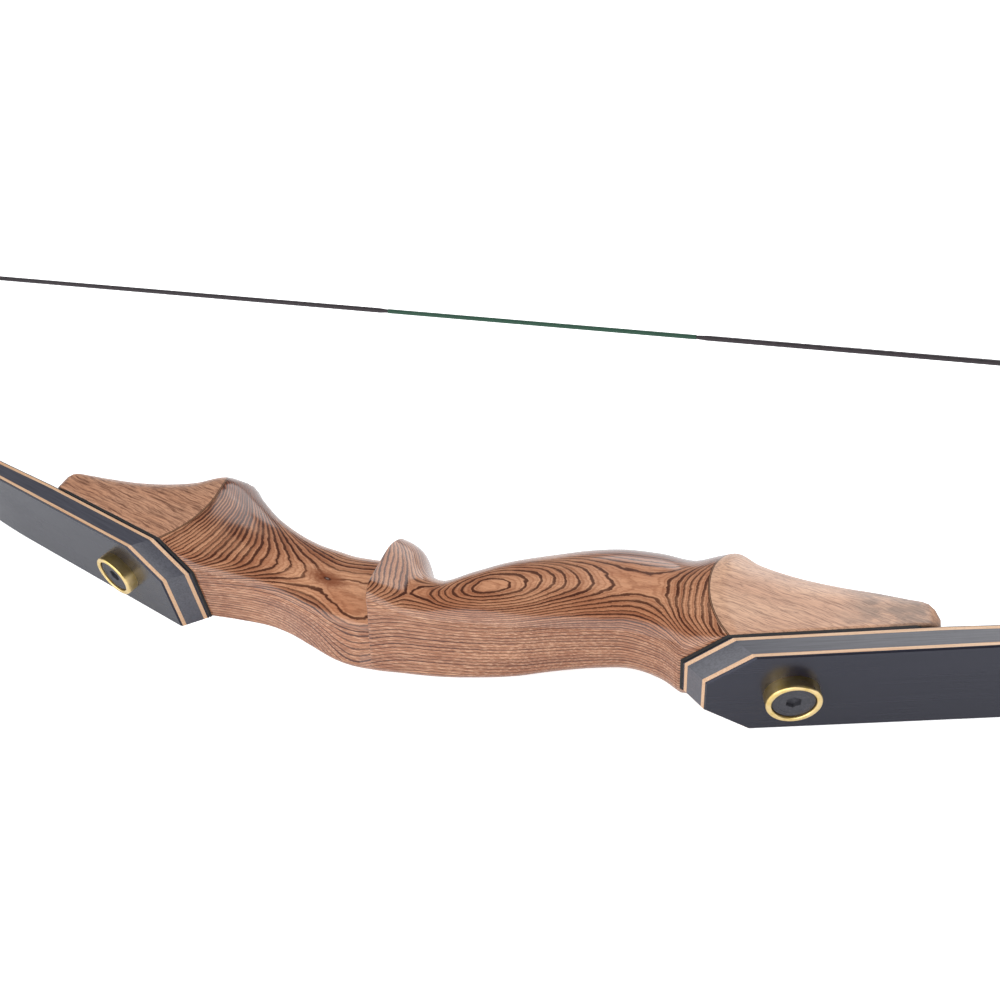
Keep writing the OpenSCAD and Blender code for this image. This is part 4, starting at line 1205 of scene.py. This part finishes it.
class BOW_OT_wind_string(bpy.types.Operator):
    """Lays up the string: twisted strands, wound servings and an end loop on each nock"""

    bl_idname = "bow.wind_string"
    bl_label = "Wind String"

    def execute(self, context):
        sizes = context.scene.bow_sizes
        pitch, twist = sizes.serving_pitch / MM, sizes.strand_twist / MM
        for side, sign in SIDES.items():
            start = 0.1 + sign * NOCKING_X
            reach = (SERVED_DOWN if sign > 0 else SERVED_UP) + sign * NOCKING_X
            back = STRAND_END - SERVED_END
            string_piece(side, f"{side}_laid_strands", f"{side}_strands", (start, STRAND_END),
                         STRAND_D / 2, "string_dark", STRAND_RELIEF, 1.5, twist,
                         bare=(reach, back))
            for name, node, ends, slot in (
                ("green_serving", "centre_serving", (start, reach), "serving_green"),
                ("grey_serving", "end_serving", (back, STRAND_END), "serving_grey"),
            ):
                string_piece(side, f"{side}_{name}", f"{side}_{node}", ends, SERVING_D / 2, slot,
                             THREAD_RELIEF, pitch / 6, pitch, STRAND_D / 2 + 0.05)
            self.loop(side, pitch)
        return {"FINISHED"}

    def loop(self, side, pitch):
        """Winds the end loop of one side, closed round its nock."""
        path = loop_path(LOOP_STEPS)
        lengths = np.linalg.norm(np.roll(path, -1, 0) - path, axis=1)
        run = lengths.sum()
        turns = round(run / pitch) * np.concatenate([[0], np.cumsum(lengths)[:-1]]) / run
        along = np.roll(path, -1, 0) - np.roll(path, 1, 0)
        e1 = np.cross(along, [0.7, 0.7, 0])
        e1 /= np.linalg.norm(e1, axis=1)[:, None]
        e2 = np.cross(along / np.linalg.norm(along, axis=1)[:, None], e1)
        turn = np.arange(LOOP_ROUND) * 2 * math.pi / LOOP_ROUND
        lift = thread_height(turns[:, None] - turn[None, :] / (2 * math.pi))
        r = LOOP_R - LOOP_RELIEF * (1 - lift)
        mirror = np.array([SIDES[side], 1, 1])
        points = (
            path[:, None, :] + (r * np.cos(turn))[..., None] * e1[:, None, :]
            + (r * np.sin(turn))[..., None] * e2[:, None, :]
        ).reshape(-1, 3) * mirror
        # From the nock, where the loop holds to the limb, to its throat, where it is the string's
        ends = [np.array([x, STRING_Y, 0]) * mirror for x in (NOCK_X - 1, LOOP_X + 2)]
        faces = tube_faces(LOOP_STEPS, LOOP_ROUND, closed=True)
        add_piece(f"{side}_served_loop", points, faces, "serving_grey",
                  (f"{side}_limb", f"{side}_string", *ends), f"{side}_string_loop",
                  STRING_CREASE, wound_places(turns * pitch, turn, LOOP_R, lift))


class BOW_OT_set_stage(bpy.types.Operator):
    """Sets the pale floor, the soft lights, the white surroundings and the camera"""

    bl_idname = "bow.set_stage"
    bl_label = "Set Stage"

    def execute(self, context):
        scene = context.scene
        scene.view_settings.view_transform = "Standard"
        self.floor(scene)
        self.world(scene)
        # Soft round lights that face the bow: place, width and height in m, and power in W
        for name, place, width, height, power in (
            ("window_light", (0.60, 1.18, 1.15), 1.45, 1.15, 11.4),
            ("low_light", (0.26, 1.66, 0.46), 1.2, 0.8, 6.0),
            ("front_light", (-0.65, -1.9, 0.95), 6.0, 1.8, 60),
        ):
            data = bpy.data.lights.new(name, "AREA")
            data.shape, data.energy = "ELLIPSE", power
            data.size, data.size_y = width, height
            lamp = bpy.data.objects.new(name, data)
            scene.collection.objects.link(lamp)
            lamp.location = place
            lamp.rotation_euler = Vector(place).to_track_quat("Z", "Y").to_euler()
        self.camera(scene)
        return {"FINISHED"}

    def floor(self, scene):
        """Lays a wide pale floor, a little brighter to the camera than to the bow."""
        reach, half = 9.0, 4
        row, steps = 2 * half + 1, range(-half, half + 1)
        corners = [(x * reach / half, y * reach / half, 0.0) for y in steps for x in steps]
        quads = [
            (a, a + 1, a + row + 1, a + row)
            for r in range(row - 1) for a in range(r * row, r * row + row - 1)
        ]
        mesh = bpy.data.meshes.new("pale_floor")
        mesh.from_pydata(corners, [], quads)
        floor = bpy.data.objects.new("pale_floor", mesh)
        scene.collection.objects.link(floor)
        f = Finish("pale floor")
        seen = f.node("ShaderNodeLightPath", {}, {}, "Is Camera Ray")
        paper = f.noise(f.node("ShaderNodeTexCoord", {}, {}, "Object"), 40, 3)
        white = f.mix(paper, *TONES["floor"])
        surface = f.node("ShaderNodeBsdfPrincipled", {}, {"Base Color": white, "Roughness": 0.9})
        glow = f.node("ShaderNodeEmission", {}, {"Color": (1, 1, 1), "Strength": seen * 0.6})
        f.out(f.node("ShaderNodeAddShader", {}, {0: surface, 1: glow}))
        mesh.materials.append(f.material)

    def world(self, scene):
        """Surrounds the bow with soft white, dimmer in reflections and plain to the camera."""
        world = bpy.data.worlds.new("white surroundings")
        scene.world = world
        world.use_nodes = True
        tree = world.node_tree
        tree.nodes.clear()
        path = tree.nodes.new("ShaderNodeLightPath")
        out = tree.nodes.new("ShaderNodeOutputWorld")
        shown = None
        for tone, strength, rays in (
            ((0.95, 0.97, 1.0), 0.81, None),
            ((0.95, 0.97, 1.0), 0.12, "Is Glossy Ray"),
            ((1.0, 1.0, 1.0), 1.0, "Is Camera Ray"),
        ):
            sky = tree.nodes.new("ShaderNodeBackground")
            sky.inputs[0].default_value, sky.inputs[1].default_value = (*tone, 1), strength
            if rays:
                mix = tree.nodes.new("ShaderNodeMixShader")
                tree.links.new(path.outputs[rays], mix.inputs[0])
                tree.links.new(shown, mix.inputs[1])
                tree.links.new(sky.outputs[0], mix.inputs[2])
                sky = mix
            shown = sky.outputs[0]
        tree.links.new(shown, out.inputs[0])

    def camera(self, scene):
        """Stands the camera that was fitted to the picture, with its own sides as directions."""
        data = bpy.data.cameras.new("photo_camera")
        data.lens, data.sensor_width = 35.387, 36
        data.clip_start, data.clip_end = 0.02, 60
        camera = bpy.data.objects.new("photo_camera", data)
        place, right = (0.15073, -0.37005, 0.34320), (0.9474, 0.3051, -0.0966)
        up, forward = (-0.1333, 0.6507, 0.7475), (-0.2909, 0.6953, -0.6572)
        turn = Matrix((right, up, [-v for v in forward])).transposed()
        camera.matrix_world = Matrix.Translation(place) @ turn.to_4x4()
        scene.collection.objects.link(camera)
        scene.camera = camera


class BOW_PT_panel(bpy.types.Panel):
    """Lists the steps of making the bow, with the sizes and colours they use"""

    bl_idname = "BOW_PT_panel"
    bl_label = "Takedown Recurve Bow"
    bl_space_type = "VIEW_3D"
    bl_region_type = "UI"
    bl_category = "Bow"

    def draw(self, context):
        for step in STEPS:
            self.layout.operator(step.bl_idname)
        for group in (context.scene.bow_sizes, context.scene.bow_finish):
            box = self.layout.box()
            for name in group.__annotations__:
                box.prop(group, name)


STEPS = (
    BOW_OT_set_stage, BOW_OT_carve_riser, BOW_OT_carve_blocks, BOW_OT_glue_limbs,
    BOW_OT_fit_hardware, BOW_OT_wind_string,
)
CLASSES = (BowSizes, BowFinish, *STEPS, BOW_PT_panel)


def register():
    """Adds the settings, the steps and the panel."""
    for made in CLASSES:
        bpy.utils.register_class(made)
    bpy.types.Scene.bow_sizes = bpy.props.PointerProperty(type=BowSizes)
    bpy.types.Scene.bow_finish = bpy.props.PointerProperty(type=BowFinish)


def unregister():
    """Takes away what register adds."""
    del bpy.types.Scene.bow_finish
    del bpy.types.Scene.bow_sizes
    for made in reversed(CLASSES):
        bpy.utils.unregister_class(made)


def main():
    """Makes the bow step by step."""
    register()
    bpy.ops.bow.set_stage()
    bpy.ops.bow.carve_riser()
    bpy.ops.bow.carve_blocks()
    bpy.ops.bow.glue_limbs()
    bpy.ops.bow.fit_hardware()
    bpy.ops.bow.wind_string()


if __name__ == "__main__":
    main()
